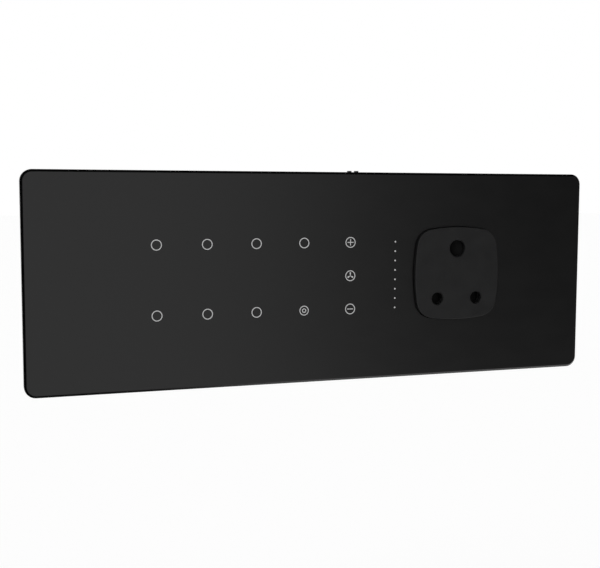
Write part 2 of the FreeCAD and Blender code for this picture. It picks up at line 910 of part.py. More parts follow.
slot_reach = (s.fixing_slot_length - s.fixing_slot_width) / 2
fixing_slots = [
    slot(
        side * s.fixing_spacing / 2 - slot_reach, 0, s.fixing_slot_width / 2,
        side * s.fixing_spacing / 2 + slot_reach, 0, s.fixing_slot_width / 2,
    )
    for side in (-1, 1)
]
cut(flange, s.flange_thickness, 0, *fixing_slots)


def tub(label, x, outer_width):
    """An open box whose edge is let into the back of the wall flange."""
    body = new_body(label)
    inner_width = outer_width - 2 * s.tub_wall
    add(body, -s.tub_depth, s.tub_seat, rounded(x, 0, outer_width, s.tub_height, s.tub_corner))
    cut(
        body, s.tub_seat, tub_floor,
        rounded(x, 0, inner_width, tub_inner_height, s.tub_corner / 2),
    )
    return body


# Tub of the mains electronics: terminal windows, vents, board posts, ledges and clips
board_tub = tub("electronics_tub", electronics_x, electronics_outer)
block_length = s.pole_pitch * s.pole_count + 2 * s.block_end_wall
block_columns = [electronics_x + side * s.block_spread for side in (-1, 1)]
cut(
    board_tub, tub_floor, -s.tub_depth,
    *[
        rect(
            x, s.block_z,
            block_length + 2 * s.block_window_gap, s.block_width + 2 * s.block_window_gap,
        )
        for x in block_columns
    ],
)
vent_columns = [electronics_x + s.vent_pitch * (number - 7.5) for number in range(16)]
vent_reach = (s.vent_length - s.vent_width) / 2
cut(
    board_tub, tub_floor, -s.tub_depth,
    *[
        slot(
            x, s.vent_z - vent_reach, s.vent_width / 2,
            x, s.vent_z + vent_reach, s.vent_width / 2,
        )
        for x in vent_columns
    ],
)
post_columns = [
    electronics_x - relay_board_width / 2 + s.post_inset,
    electronics_x + relay_board_width / 2 - s.post_inset,
]
post_rows = [s.post_inset - relay_board_height / 2, relay_board_height / 2 - s.post_inset]
posts = pairs(post_columns, post_rows)
add(board_tub, tub_floor, relay_board_back, *[circle(x, z, s.post_radius) for x, z in posts])
cut(
    board_tub, relay_board_back, relay_board_back - s.board_screw_bite,
    *[circle(x, z, s.board_screw_radius) for x, z in posts],
)
ledge_depth = s.board_edge_gap - s.window_gap
ledge_columns = [electronics_x + s.electronics_width * part for part in (-0.3, 0.3)]
ledge_rows = [side * (tub_inner_height / 2 - ledge_depth / 2) for side in (-1, 1)]
ledges = pairs(ledge_columns, ledge_rows)
add(
    board_tub, tub_floor, barrier_back,
    *[rect(x, z, s.ledge_length, ledge_depth) for x, z in ledges],
)
clip_rows = [side * (tub_inner_height / 2 - s.clip_proud / 2) for side in (-1, 1)]
clip_back = barrier_front + s.fit_gap
add(
    board_tub, clip_back, clip_back + s.clip_thickness,
    *[rect(x, z, s.ledge_length, s.clip_proud) for x, z in pairs(ledge_columns, clip_rows)],
)

# Tub of the socket, with a window for its terminal screws
socket_tub = tub("socket_tub", s.socket_x, socket_outer)
rear_window = s.block_size - 2 * s.tub_wall
cut(
    socket_tub, tub_floor, -s.tub_depth,
    rounded(s.socket_x, s.socket_z, rear_window, rear_window, s.block_corner),
)

# Safety barrier, which drops on to the ledges and is caught by the clips
barrier = new_body("safety_barrier")
add(
    barrier, barrier_back, barrier_front,
    rounded(
        electronics_x, 0, s.electronics_width - 2 * s.barrier_gap,
        tub_inner_height - 2 * s.barrier_gap, s.tub_corner / 2,
    ),
    rect(
        electronics_x, s.header_z,
        header_length + 2 * s.barrier_slot_gap, s.header_width + 2 * s.barrier_slot_gap,
    ),
)

# Relay board and its four screws
relay_board = new_body("relay_board")
add(
    relay_board, relay_board_back, relay_board_front,
    rect(electronics_x, 0, relay_board_width, relay_board_height),
    *[circle(x, z, s.board_screw_radius + s.fit_gap) for x, z in posts],
)


def cross_recess(body, high, low, radius, places):
    """The driver's cross in each screw head, between two heights."""
    for wide, tall in ((radius * 1.2, s.recess_width), (s.recess_width, radius * 1.2)):
        cut(body, high, low, *[rect(x, z, wide, tall) for x, z in places])


board_screws = new_body("board_screws")
board_screw_top = relay_board_front + s.board_screw_head_height
board_screw_tip = relay_board_back - s.board_screw_bite + s.fit_gap
add(
    board_screws, relay_board_front, board_screw_top,
    *[circle(x, z, s.board_screw_head_radius) for x, z in posts],
)
add(
    board_screws, board_screw_tip, relay_board_front,
    *[circle(x, z, s.board_screw_radius - s.sleeve_gap) for x, z in posts],
)
cross_recess(
    board_screws, board_screw_top, board_screw_top - s.board_screw_head_height / 2,
    s.board_screw_head_radius, posts,
)

# Seven load relays, each a base with a cap over it
relay_columns = [electronics_x + s.relay_pitch * (number - 3) for number in range(7)]
relay_z = s.relay_edge_gap + s.relay_length / 2 - relay_board_height / 2
relay_foot = relay_board_front + s.relay_base_height
add(
    new_body("relay_bases"), relay_board_front, relay_foot,
    *[rect(x, relay_z, s.relay_width, s.relay_length) for x in relay_columns],
)
add(
    new_body("relay_cases"), relay_foot, relay_board_front + s.relay_height,
    *[rounded(x, relay_z, s.relay_width, s.relay_length, s.relay_case_wall) for x in relay_columns],
)

# Tower socket that takes the touch board's pins
header_socket = new_body("header_socket")
add(
    header_socket, relay_board_front, header_socket_top,
    rect(electronics_x, s.header_z, header_length, s.header_width),
)
cut(
    header_socket, header_socket_top, header_socket_top - s.header_entry,
    *[rect(x, s.header_z, s.header_hole_size, s.header_hole_size) for x in header_pins],
)


def on_board(label, height, *outlines, foot=0):
    """A block that stands on the relay board."""
    body = new_body(label)
    add(body, relay_board_front + foot, relay_board_front + height, *outlines)
    return body


on_board(
    "power_module", s.power_height,
    rounded(electronics_x + s.power_x, s.upper_row_z, s.power_width, s.power_length, s.rim_corner / 3),
)

# Fuse link lying in its two spring clips
fuse_x = electronics_x + s.fuse_x
fuse_centre = s.relay_board_depth - s.fuse_height
fuse = new_body("fuse_link")
fuse_left = fuse_x - s.fuse_length / 2
fuse_right = fuse_x + s.fuse_length / 2
extrude(
    fuse, "Pad", "YZ_Plane", fuse_left, s.fuse_length,
    [circle(fuse_centre, s.fuse_z, s.fuse_radius)],
)
clips = new_body("fuse_clips")
clip_lefts = [fuse_left + s.fit_gap, fuse_right - s.fuse_cap_length - s.fit_gap]
clip_outer = s.fuse_radius + s.fit_gap / 2 + s.clip_wall
for left in clip_lefts:
    extrude(
        clips, "Pad", "YZ_Plane", left, s.fuse_cap_length,
        [
            rect(
                s.relay_board_depth - (s.fuse_height + s.fuse_radius / 2) / 2, s.fuse_z,
                s.fuse_height + s.fuse_radius / 2, 2 * clip_outer,
            ),
        ],
    )
extrude(
    clips, "Pocket", "YZ_Plane", fuse_right, s.fuse_length,
    [circle(fuse_centre, s.fuse_z, s.fuse_radius + s.fit_gap / 2)],
)

# Surge disc, standing on its edge
varistor = new_body("surge_varistor")
varistor_x = electronics_x + s.varistor_x
varistor_low = s.varistor_z - s.varistor_thickness / 2
add_up(
    varistor, varistor_low, varistor_low + s.varistor_thickness,
    circle(varistor_x, s.relay_board_depth - s.varistor_height, s.varistor_radius),
)
add(
    varistor, relay_board_front, relay_board_front + s.varistor_height - s.varistor_radius / 2,
    *[
        rect(varistor_x + side * s.varistor_radius / 2, s.varistor_z, s.recess_width, s.recess_width)
        for side in (-1, 1)
    ],
)

capacitor_columns = [
    electronics_x + s.capacitor_x + side * s.capacitor_pitch / 2 for side in (-1, 1)
]
on_board(
    "supply_capacitors", s.capacitor_height,
    *[circle(x, s.capacitor_z, s.capacitor_radius) for x in capacitor_columns],
)
on_board(
    "relay_driver_chip", s.driver_height,
    rect(electronics_x + s.driver_x, s.driver_z, s.driver_width, s.driver_length),
)
on_board(
    "optocouplers", s.driver_height,
    *[
        rect(electronics_x + s.opto_x + side * s.opto_pitch / 2, s.driver_z, s.opto_width, s.opto_length)
        for side in (-1, 1)
    ],
)
on_board(
    "snubber_capacitor", s.snubber_height,
    rect(electronics_x + s.snubber_x, s.upper_row_z, s.snubber_width, s.snubber_length),
)

# Fan regulator: a triac flat against its finned heat sink
heatsink_x = electronics_x + s.heatsink_x
heatsink_back_z = s.heatsink_z - s.heatsink_wall
fin_step = (s.heatsink_width - s.heatsink_wall) / (s.heatsink_fin_count - 1)
fin_columns = [
    heatsink_x - (s.heatsink_width - s.heatsink_wall) / 2 + fin_step * number
    for number in range(int(SIZES["heatsink_fin_count"]))
]
heatsink = on_board(
    "triac_heatsink", s.heatsink_height,
    rect(heatsink_x, s.heatsink_z - s.heatsink_wall / 2, s.heatsink_width, s.heatsink_wall),
)
add(
    heatsink, relay_board_front, relay_board_front + s.heatsink_height,
    *[
        rect(x, s.heatsink_z + s.heatsink_fin / 2 - s.fit_gap, s.heatsink_wall, s.heatsink_fin)
        for x in fin_columns
    ],
)
triac = on_board(
    "fan_triac", s.triac_lift + s.triac_tab_height,
    rect(heatsink_x, heatsink_back_z - s.triac_tab_thickness / 2, s.triac_width, s.triac_tab_thickness),
    foot=s.triac_lift,
)
triac_body_z = heatsink_back_z - s.triac_tab_thickness - s.triac_body_thickness / 2
add(
    triac, relay_board_front + s.triac_lift, relay_board_front + s.triac_lift + s.triac_body_height,
    rect(heatsink_x, triac_body_z + s.fit_gap, s.triac_width, s.triac_body_thickness + 2 * s.fit_gap),
)
add(
    triac, relay_board_front, relay_board_front + s.triac_lift,
    *[
        rect(heatsink_x + side * s.header_pitch, triac_body_z, s.recess_width, s.recess_width)
        for side in (-1, 0, 1)
    ],
)

# Terminal blocks on the back of the board, with a clamp cage and a screw in each pole
block_back = relay_board_back - s.block_height
poles = [
    column + s.pole_pitch * (number - (s.pole_count - 1) / 2)
    for column in block_columns
    for number in range(int(SIZES["pole_count"]))
]
cavity_width = s.pole_pitch - s.block_wall
cavity_length = s.block_width - 2 * s.block_wall
cage_width = cavity_width - 2 * s.clamp_gap
cage_length = cavity_length - 2 * s.clamp_gap
cavity_back = block_back + s.clamp_lip
cage_back = cavity_back + s.clamp_gap
cage_front = cage_back + s.clamp_height
cavity_front = cage_front + s.clamp_gap
entry_depth = -(cage_front - s.clamp_wall - s.wire_entry / 2)
blocks = new_body("terminal_blocks")
add(
    blocks, block_back, cavity_front,
    *[rect(x, s.block_z, block_length, s.block_width) for x in block_columns],
    *[rect(x, s.block_z, cavity_width, cavity_length) for x in poles],
)
add(
    blocks, cavity_front, relay_board_back,
    *[rect(x, s.block_z, block_length, s.block_width) for x in block_columns],
)
add(
    blocks, block_back, cavity_back,
    *[rect(x, s.block_z, cavity_width + s.clamp_gap, cavity_length + s.clamp_gap) for x in poles],
)
cut(
    blocks, cavity_back, block_back,
    *[circle(x, s.block_z, s.terminal_screw_head_radius + s.clamp_gap) for x in poles],
)
block_low = s.block_z - s.block_width / 2
cut_down(
    blocks, block_low + s.block_wall, block_low,
    *[rect(x, entry_depth, s.wire_entry, s.wire_entry) for x in poles],
)
clamps = new_body("terminal_clamps")
add(
    clamps, cage_back, cage_front,
    *[rect(x, s.block_z, cage_width, cage_length) for x in poles],
)
cut_down(
    clamps, s.block_z + cage_length / 2, s.block_z - cage_length / 2,
    *[rect(x, entry_depth, s.wire_entry, s.wire_entry) for x in poles],
)
screw_tip = -entry_depth - s.clamp_gap
cut(
    clamps, screw_tip, cage_back,
    *[circle(x, s.block_z, s.terminal_screw_radius) for x in poles],
)
terminal_screws = new_body("terminal_screws")
screw_head_back = cage_back - s.terminal_screw_head_height
add(
    terminal_screws, screw_head_back, cage_back - s.fit_gap,
    *[circle(x, s.block_z, s.terminal_screw_head_radius) for x in poles],
)
add(
    terminal_screws, cage_back - s.fit_gap, screw_tip - s.fit_gap,
    *[circle(x, s.block_z, s.terminal_screw_radius - s.sleeve_gap) for x in poles],
)
cut(
    terminal_screws, screw_head_back + s.terminal_screw_head_height / 2, screw_head_back,
    *[rect(x, s.block_z, 2.5 * s.terminal_screw_head_radius, s.recess_width) for x in poles],
)


# Socket, drawn about its own middle and then placed in the panel
#
# Seen from the room the earth pin goes in at the top, the line pin at the lower
# right and the neutral pin at the lower left.

def socket_piece(label):
    return new_body(label, s.socket_x, s.socket_z)


def circle_edges(shape, height, largest):
    """Names of the small round edges at one height."""
    names = []
    for name in front_edges(shape, height):
        curve = shape.getElement(name).Curve
        if isinstance(curve, Part.Circle) and curve.Radius < float(largest):
            names.append(name)
    return names


pin_holes = [
    circle(0, earth_z, s.earth_hole_radius),
    circle(line_x, line_z, s.line_hole_radius),
    circle(neutral_x, line_z, s.line_hole_radius),
]

# Raised squircle cover with its flange behind the glass
cover = socket_piece("socket_cover")
raised = add(cover, s.flange_thickness, insert_front, squircle(0, 0, insert_half))
soften(cover, "Fillet", raised, insert_front, s.insert_edge_round)
add(
    cover, s.flange_thickness, insert_flange_top,
    rounded(0, 0, s.insert_flange_width, cover_flange_height, s.block_corner),
)
cover_ceiling = insert_front - s.insert_front_wall
hollow = extrude(
    cover, "Pocket", "XZ_Plane", s.flange_thickness, cover_ceiling - s.flange_thickness,
    [squircle(0, 0, insert_half, -s.insert_side_wall)],
)
hollow.Reversed = True
drilled = cut(cover, insert_front, cover_ceiling, *pin_holes)
doc.recompute()
countersinks = cover.newObject("PartDesign::Chamfer", "socket_cover_chamfer")
countersinks.Base = (drilled, circle_edges(drilled.Shape, insert_front, s.insert_corner_radius / 2))
countersinks.Size = s.hole_chamfer.value
countersinks.setExpression("Size", s.hole_chamfer.formula)
cover_screw_places = [(0, side * cover_screw_offset) for side in (-1, 1)]
cut(
    cover, insert_flange_top, s.flange_thickness,
    *[circle(x, z, s.cover_screw_radius + s.fit_gap) for x, z in cover_screw_places],
)
cut(
    cover, insert_flange_top, insert_flange_top - s.cover_screw_head_height,
    *[circle(x, z, s.cover_screw_head_radius + s.fit_gap) for x, z in cover_screw_places],
)

cover_screw_pair = socket_piece("socket_cover_screws")
cover_head_back = insert_flange_top - s.cover_screw_head_height
add(
    cover_screw_pair, cover_head_back, insert_flange_top,
    *[circle(x, z, s.cover_screw_head_radius) for x, z in cover_screw_places],
)
add(
    cover_screw_pair, insert_flange_top - s.cover_screw_length, cover_head_back,
    *[circle(x, z, s.cover_screw_radius - s.sleeve_gap) for x, z in cover_screw_places],
)
cross_recess(
    cover_screw_pair, insert_flange_top, insert_flange_top - s.cover_screw_head_height / 2,
    s.cover_screw_head_radius, cover_screw_places,
)

# Safety shutter, which the earth pin wedges sideways to uncover the other two holes
tab_half = s.line_hole_radius + s.shutter_land
shutter_travel = s.line_hole_radius + tab_half + s.fit_gap
shutter_back = s.boss_height + s.shutter_gap
shutter_front = shutter_back + s.shutter_plate
ramp_front = cover_ceiling - s.shutter_gap
stem_left = s.earth_hole_radius + s.fit_gap - shutter_travel
stem_right = stem_left + s.shutter_stem_width
bar_low = line_z + tab_half
bar_high = bar_low + s.shutter_bar
ramp_low = earth_z - s.earth_hole_radius - s.shutter_land
ramp_high = earth_z + s.earth_hole_radius + s.shutter_gap
bar_right = line_x + tab_half
shutter = socket_piece("socket_shutter")
add(
    shutter, shutter_back, shutter_front,
    polygon(
        (-bar_right, line_z), (-bar_right, bar_high), (stem_left, bar_high),
        (stem_left, ramp_low), (stem_right, ramp_low), (stem_right, bar_high),
        (bar_right, bar_high), (bar_right, line_z), (bar_right - 2 * tab_half, line_z),
        (bar_right - 2 * tab_half, bar_low), (2 * tab_half - bar_right, bar_low),
        (2 * tab_half - bar_right, line_z),
    ),
)
add(
    shutter, shutter_back, shutter_front,
    circle(neutral_x, line_z, tab_half), circle(line_x, line_z, tab_half),
)
add_up(
    shutter, ramp_low, ramp_high,
    polygon(
        (stem_left, -shutter_back), (stem_right, -shutter_back), (stem_right, -ramp_front),
        (stem_left + shutter_travel, -ramp_front), (stem_left, -shutter_back - s.shutter_nose),
    ),
)
seat_width = s.spring_post_width
add(
    shutter, shutter_back, ramp_front,
    rect(stem_right - seat_width / 2, s.spring_z, seat_width, s.spring_seat),
)

# Insulating body that holds the three contacts, with guide ribs for the shutter
housing = socket_piece("socket_body")
add(
    housing, -s.block_depth, s.flange_thickness,
    rounded(0, 0, s.block_size, s.block_size, s.block_corner),
)
add(
    housing, s.flange_thickness - s.lip_thickness, s.flange_thickness,
    rounded(0, 0, lip_size, lip_size, s.block_corner),
)
add(
    housing, s.flange_thickness, s.boss_height,
    squircle(0, 0, insert_half, -s.insert_side_wall - s.shutter_gap),
)
rib_low = line_z - tab_half - s.shutter_gap - s.rib_width / 2
rib_mid = bar_high + s.shutter_gap + s.rib_width / 2
left_rib_length = bar_right + stem_left - 2 * s.shutter_gap
right_rib_left = stem_right + shutter_travel + s.shutter_gap
rib_reach = insert_half - s.insert_side_wall - s.lip_width
add(
    housing, s.boss_height, s.boss_height + s.rib_height,
    rect(0, rib_low, 2 * line_x, s.rib_width),
    rect(left_rib_length / 2 - bar_right, rib_mid, left_rib_length, s.rib_width),
    rect((right_rib_left + rib_reach) / 2, rib_mid, rib_reach - right_rib_left, s.rib_width),
)
spring_far = stem_right + s.spring_length
add(
    housing, s.boss_height, ramp_front,
    rect(spring_far + s.spring_post_width / 2, s.spring_z, s.spring_post_width, s.spring_seat),
)
earth_outer = s.earth_pin_radius + s.sleeve_gap + s.sleeve_wall
line_outer = s.line_pin_radius + s.sleeve_gap + s.sleeve_wall
earth_pillar_front = s.contact_front - s.earth_sleeve_length
line_pillar_front = s.contact_front - s.line_sleeve_length
cut(housing, s.boss_height, s.contact_front, *pin_holes)
cut(
    housing, s.contact_front, earth_pillar_front,
    circle(0, earth_z, earth_outer + s.sleeve_room),
)
cut(
    housing, s.contact_front, line_pillar_front,
    circle(line_x, line_z, line_outer + s.sleeve_room),
    circle(neutral_x, line_z, line_outer + s.sleeve_room),
)
earth_pocket = s.earth_pillar + 2 * s.fit_gap
line_pocket = s.line_pillar + 2 * s.fit_gap
cut(housing, earth_pillar_front + s.fit_gap, -s.block_depth, rect(0, earth_z, earth_pocket, earth_pocket))
cut(
    housing, line_pillar_front + s.fit_gap, -s.block_depth,
    rect(line_x, line_z, line_pocket, line_pocket),
    rect(neutral_x, line_z, line_pocket, line_pocket),
)
cut_down(housing, s.block_size / 2, earth_z, circle(0, s.pillar_bore_depth, s.pillar_bore))
cut_down(
    housing, line_z, -s.block_size / 2,
    circle(line_x, s.pillar_bore_depth, s.pillar_bore),
    circle(neutral_x, s.pillar_bore_depth, s.pillar_bore),
)
back_screw_places = [(-s.back_screw_x, s.back_screw_z), (s.back_screw_x, s.back_screw_z)]
pilot_front = s.back_screw_bite - s.block_depth
cut(
    housing, pilot_front, -s.block_depth,
    *[circle(x, z, s.back_screw_radius) for x, z in back_screw_places],
)

# Rear plate that keeps the contacts in, and its two screws
contact_places = [(0, earth_z), (line_x, line_z), (neutral_x, line_z)]
back_plate = socket_piece("socket_back_plate")
back_plate_rear = -s.block_depth - s.back_plate_thickness
add(
    back_plate, back_plate_rear, -s.block_depth,
    rounded(0, 0, s.block_size, s.block_size, s.block_corner),
    *[circle(x, z, s.contact_screw_head_radius + s.contact_screw_hole_gap) for x, z in contact_places],
    *[circle(x, z, s.back_screw_radius + s.fit_gap) for x, z in back_screw_places],
)
back_screws = socket_piece("back_plate_screws")
add(
    back_screws, back_plate_rear - s.board_screw_head_height, back_plate_rear,
    *[circle(x, z, s.board_screw_head_radius) for x, z in back_screw_places],
)
add(
    back_screws, back_plate_rear, pilot_front - s.fit_gap,
    *[circle(x, z, s.back_screw_radius - s.sleeve_gap) for x, z in back_screw_places],
)
cross_recess(
    back_screws, back_plate_rear - s.board_screw_head_height / 2,
    back_plate_rear - s.board_screw_head_height, s.board_screw_head_radius, back_screw_places,
)


def contact(label, place, bore, outer, pillar, pillar_front, slit_side):
    """A brass sleeve with a solid pillar behind it for the wire and its screw."""
    x, z = place
    body = socket_piece(label)
    pillar_rear = s.fit_gap - s.block_depth
    sleeve_front = s.contact_front - s.fit_gap
    add(body, pillar_rear, pillar_front, rect(x, z, pillar, pillar))
    add(body, pillar_front, sleeve_front, circle(x, z, outer), circle(x, z, bore))
    cut(
        body, sleeve_front, pillar_front + s.recess_width,
        rect(x, z + slit_side * outer, s.sleeve_slit, outer),
    )
    cut_down(
        body, z + pillar / 2, z - pillar / 2,
        circle(x, s.pillar_bore_depth, s.pillar_bore),
    )
    cut(body, -s.pillar_bore_depth, pillar_rear, circle(x, z, s.contact_screw_radius))
    return body


earth_bore = s.earth_pin_radius + s.sleeve_gap
line_bore = s.line_pin_radius + s.sleeve_gap
contact(
    "earth_contact", contact_places[0], earth_bore, earth_outer,
    s.earth_pillar, earth_pillar_front, -1,
)
for label, place in zip(("line_contact", "neutral_contact"), contact_places[1:]):
    contact(label, place, line_bore, line_outer, s.line_pillar, line_pillar_front, 1)
contact_screws = socket_piece("contact_screws")
screw_seat = s.fit_gap - s.block_depth
add(
    contact_screws, screw_seat - s.contact_screw_head_height, screw_seat,
    *[circle(x, z, s.contact_screw_head_radius) for x, z in contact_places],
)
add(
    contact_screws, screw_seat, -s.pillar_bore_depth - s.recess_width,
    *[circle(x, z, s.contact_screw_radius - s.sleeve_gap) for x, z in contact_places],
)
contact_slot = [
    rect(x, z, 2.5 * s.contact_screw_head_radius, s.recess_width) for x, z in contact_places
]
cut(
    contact_screws, screw_seat - s.contact_screw_head_height / 2,
    screw_seat - s.contact_screw_head_height, *contact_slot,
)


# Shutter spring, one unbroken wire wound in quarter turns

def arc_between(start, finish, corner):
    """The arc from start to finish whose end tangents meet at the corner."""
    middle = (start + finish) * 0.5
    half_chord = (finish - start).Length / 2
    rise = corner - middle
    angle = math.atan2(rise.Length, half_chord)
    summit = middle + rise * (half_chord * math.tan(angle / 2) / rise.Length)
    return Part.Arc(start, summit, finish).toShape()


def helix_point(angle, radius, pitch):
    return FreeCAD.Vector(
        pitch * angle / (2 * math.pi), radius * math.cos(angle), radius * math.sin(angle)
    )


def helix_heading(angle, radius, pitch):
    heading = FreeCAD.Vector(
        pitch / (2 * math.pi), -radius * math.sin(angle), radius * math.cos(angle)
    )
    return heading.normalize()


def wound_wire(radius, wire, pitch, turns):
    """Two smooth arcs to each quarter turn, with the wire's section along them."""
    edges = []
    for quarter in range(4 * turns):
        angles = (quarter * math.pi / 2, (quarter + 1) * math.pi / 2)
        start, finish = [helix_point(angle, radius, pitch) for angle in angles]
        leave, arrive = [helix_heading(angle, radius, pitch) for angle in angles]
        chord = finish - start
        both = leave + arrive
        fall = 2 * (1 - leave.dot(arrive))
        reach = (math.sqrt(chord.dot(both) ** 2 + fall * chord.dot(chord)) - chord.dot(both)) / fall
        corner_one = start + leave * reach
        corner_two = finish - arrive * reach
        joint = (corner_one + corner_two) * 0.5
        edges.append(arc_between(start, joint, corner_one))
        edges.append(arc_between(joint, finish, corner_two))
    path = Part.Wire(edges)
    heading = helix_heading(0, radius, pitch)
    section = Part.Circle(helix_point(0, radius, pitch), heading, wire / 2).toShape()
    return Part.Wire(path).makePipeShell([Part.Wire(section)], True, False)


spring = doc.addObject("Part::Feature", "shutter_spring")
spring.Label = "shutter_spring"
wire = float(s.spring_wire)
spring_run = float(s.spring_length) - wire - float(s.fit_gap)
spring_turns = int(SIZES["spring_turns"])
spring_pitch = spring_run / spring_turns
spring.Shape = wound_wire(float(s.spring_radius), wire, spring_pitch, spring_turns)
spring_start = stem_right + (s.spring_wire + s.fit_gap) / 2
spring_height = (shutter_back + ramp_front) / 2
spring.Placement = FreeCAD.Placement(
    FreeCAD.Vector(
        float(s.socket_x + spring_start), -float(spring_height), float(s.socket_z + s.spring_z)
    ),
    FreeCAD.Rotation(),
)
print("spring turns lie", round(spring_pitch - wire, 3), "mm apart")

doc.recompute()

# Every object has to be sound before anything is written
faults = [item.Label for item in doc.Objects if {"Invalid", "Error"} & set(item.State)]
pieces = [item for item in doc.Objects if item.isDerivedFrom("PartDesign::Body")] + [spring]
for piece in pieces:
    if piece.Shape.isNull() or not piece.Shape.isValid() or piece.Shape.Volume <= 0:
        faults.append(piece.Label)
for item in doc.Objects:
    if item.isDerivedFrom("PartDesign::Pocket"):
        if item.Shape.Volume > item.BaseFeature.Shape.Volume - 1e-4:
            faults.append(item.Label + " cuts nothing")
if faults:
    raise RuntimeError("Faulty: " + ", ".join(faults))

os.makedirs("parts", exist_ok=True)
for piece in pieces:
    piece.Shape.exportStep("parts/%s.step" % piece.Label)
    print(piece.Label, len(piece.Shape.Solids), round(piece.Shape.Volume, 1))
whole = Part.makeCompound([piece.Shape for piece in pieces]).BoundBox
sides = (whole.XLength, whole.YLength, whole.ZLength)
print("nodes", len(pieces), "size", [round(side, 2) for side in sides])
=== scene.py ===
# %% [markdown]
# This lesson dresses a touch switch panel. The solids come from the CAD model, and they already have
# the right size and place, so Blender only adds what a solid can't have: finishes, soft edges and
# small parts such as screw heads and wound wire. Everything is in metres, with the wall behind the
# panel at y = 0 and the room towards -Y. We load the solids first and keep their box, because the
# dressed panel has to stay inside it.

# %% The solids and their box
import json
import math

import bmesh
import bpy
from mathutils import Matrix, Vector


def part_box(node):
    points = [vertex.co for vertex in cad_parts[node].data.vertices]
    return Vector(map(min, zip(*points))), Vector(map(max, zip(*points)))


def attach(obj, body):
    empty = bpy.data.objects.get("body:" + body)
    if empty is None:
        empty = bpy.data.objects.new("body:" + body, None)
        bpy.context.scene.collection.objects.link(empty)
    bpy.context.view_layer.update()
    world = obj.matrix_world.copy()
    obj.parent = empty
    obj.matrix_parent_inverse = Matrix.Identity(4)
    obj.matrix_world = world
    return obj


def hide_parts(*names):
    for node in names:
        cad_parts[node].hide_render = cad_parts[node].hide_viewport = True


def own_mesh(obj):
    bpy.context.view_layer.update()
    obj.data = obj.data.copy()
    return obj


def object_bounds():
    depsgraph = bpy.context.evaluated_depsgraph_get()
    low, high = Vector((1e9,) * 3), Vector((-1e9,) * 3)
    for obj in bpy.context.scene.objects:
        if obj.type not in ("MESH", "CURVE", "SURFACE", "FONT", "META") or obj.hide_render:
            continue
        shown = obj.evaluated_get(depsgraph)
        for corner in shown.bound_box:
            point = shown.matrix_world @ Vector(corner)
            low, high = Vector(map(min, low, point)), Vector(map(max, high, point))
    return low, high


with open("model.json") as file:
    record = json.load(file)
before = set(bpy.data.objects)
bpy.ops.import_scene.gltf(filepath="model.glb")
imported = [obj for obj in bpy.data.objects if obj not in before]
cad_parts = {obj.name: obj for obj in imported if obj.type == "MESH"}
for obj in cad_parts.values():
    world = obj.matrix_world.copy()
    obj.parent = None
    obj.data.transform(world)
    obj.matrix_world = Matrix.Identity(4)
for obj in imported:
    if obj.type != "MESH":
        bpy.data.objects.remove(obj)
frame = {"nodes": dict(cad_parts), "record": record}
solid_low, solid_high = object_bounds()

MM = 0.001
nodes = frame["nodes"]
size_mm = [round((high - low) / MM, 2) for low, high in zip(solid_low, solid_high)]
print("solids:", len(nodes), "size in mm:", size_mm)

# %% [markdown]
# The photograph was taken from the left and a little above, with a fairly short lens. A camera could be
# turned by hand until it looks right, but the four corners of the glass fix it: where it stands, where
# it looks and how long its lens is. We write its place in millimetres and build its rotation from
# three directions, right, up and back, as columns. The Standard view transform shows a colour as it
# is written, so that white stays white.

# %% Camera
CAMERA_PLACE = Vector((-150.02, -415.2, 35.85)) * MM
CAMERA_RIGHT = Vector((0.9464, -0.3231, 0.0028))
CAMERA_UP = Vector((0.0262, 0.0855, 0.996))
CAMERA_BACK = Vector((-0.3221, -0.9425, 0.0893))
LENS = 60.57
SENSOR_WIDTH = 36.0


def put_in_scene(name, data):
    """A new object of some data, linked to the scene."""
    made = bpy.data.objects.new(name, data)
    bpy.context.collection.objects.link(made)
    return made


camera = put_in_scene("camera", bpy.data.cameras.new("camera"))
turn = Matrix((CAMERA_RIGHT, CAMERA_UP, CAMERA_BACK)).transposed()
camera.matrix_world = Matrix.Translation(CAMERA_PLACE) @ turn.to_quaternion().to_matrix().to_4x4()
camera.data.lens = LENS
camera.data.sensor_width = SENSOR_WIDTH
camera.data.clip_start = 0.01
bpy.context.scene.camera = camera
bpy.context.scene.view_settings.view_transform = "Standard"
print("camera stands", round(CAMERA_PLACE.length, 3), "m from the middle of the panel")

# %% [markdown]
# A finish in Blender is a small network of nodes. It can be drawn by hand in the shader editor, but a
# script can be read, changed and run again. The same few moves come each time: add a node, set its
# inputs and link it. These helpers do that, so each finish below reads as a short list.

# %% Helpers for nodes
def feed(socket, value):
    """Links an output to a socket, or sets a plain value on it. A colour has three numbers."""
    if isinstance(value, bpy.types.NodeSocket):
        socket.id_data.links.new(value, socket)
    elif socket.type == "RGBA":
        socket.default_value = (*value, 1.0)
    else:
        socket.default_value = value


def add_node(tree, kind, **values):
    """Adds a shader node. A name in small letters is a setting, and any other is an input."""
    made = tree.nodes.new("ShaderNode" + kind)
    for name, value in values.items():
        if name.islower():
            setattr(made, name, value)
        else:
            feed(made.inputs[name.replace("_", " ")], value)
    return made


def maths(tree, operation, first, second=0.5, clamp=False):
    """A Math node's output."""
    made = add_node(tree, "Math", operation=operation, use_clamp=clamp)
    feed(made.inputs[0], first)
    feed(made.inputs[1], second)
    return made.outputs[0]


def blend(tree, share, first, second):
    """Mixes two colours by a share from 0 to 1."""
    made = add_node(tree, "Mix", data_type="RGBA")
    for number, value in ((0, share), (6, first), (7, second)):
        feed(made.inputs[number], value)
    return made.outputs[2]


def ramp(tree, value, low, high):
    """0 below low, 1 above high, and a straight slope between them."""
    return add_node(tree, "MapRange", Value=value, From_Min=low, From_Max=high).outputs["Result"]


print("node helpers ready")

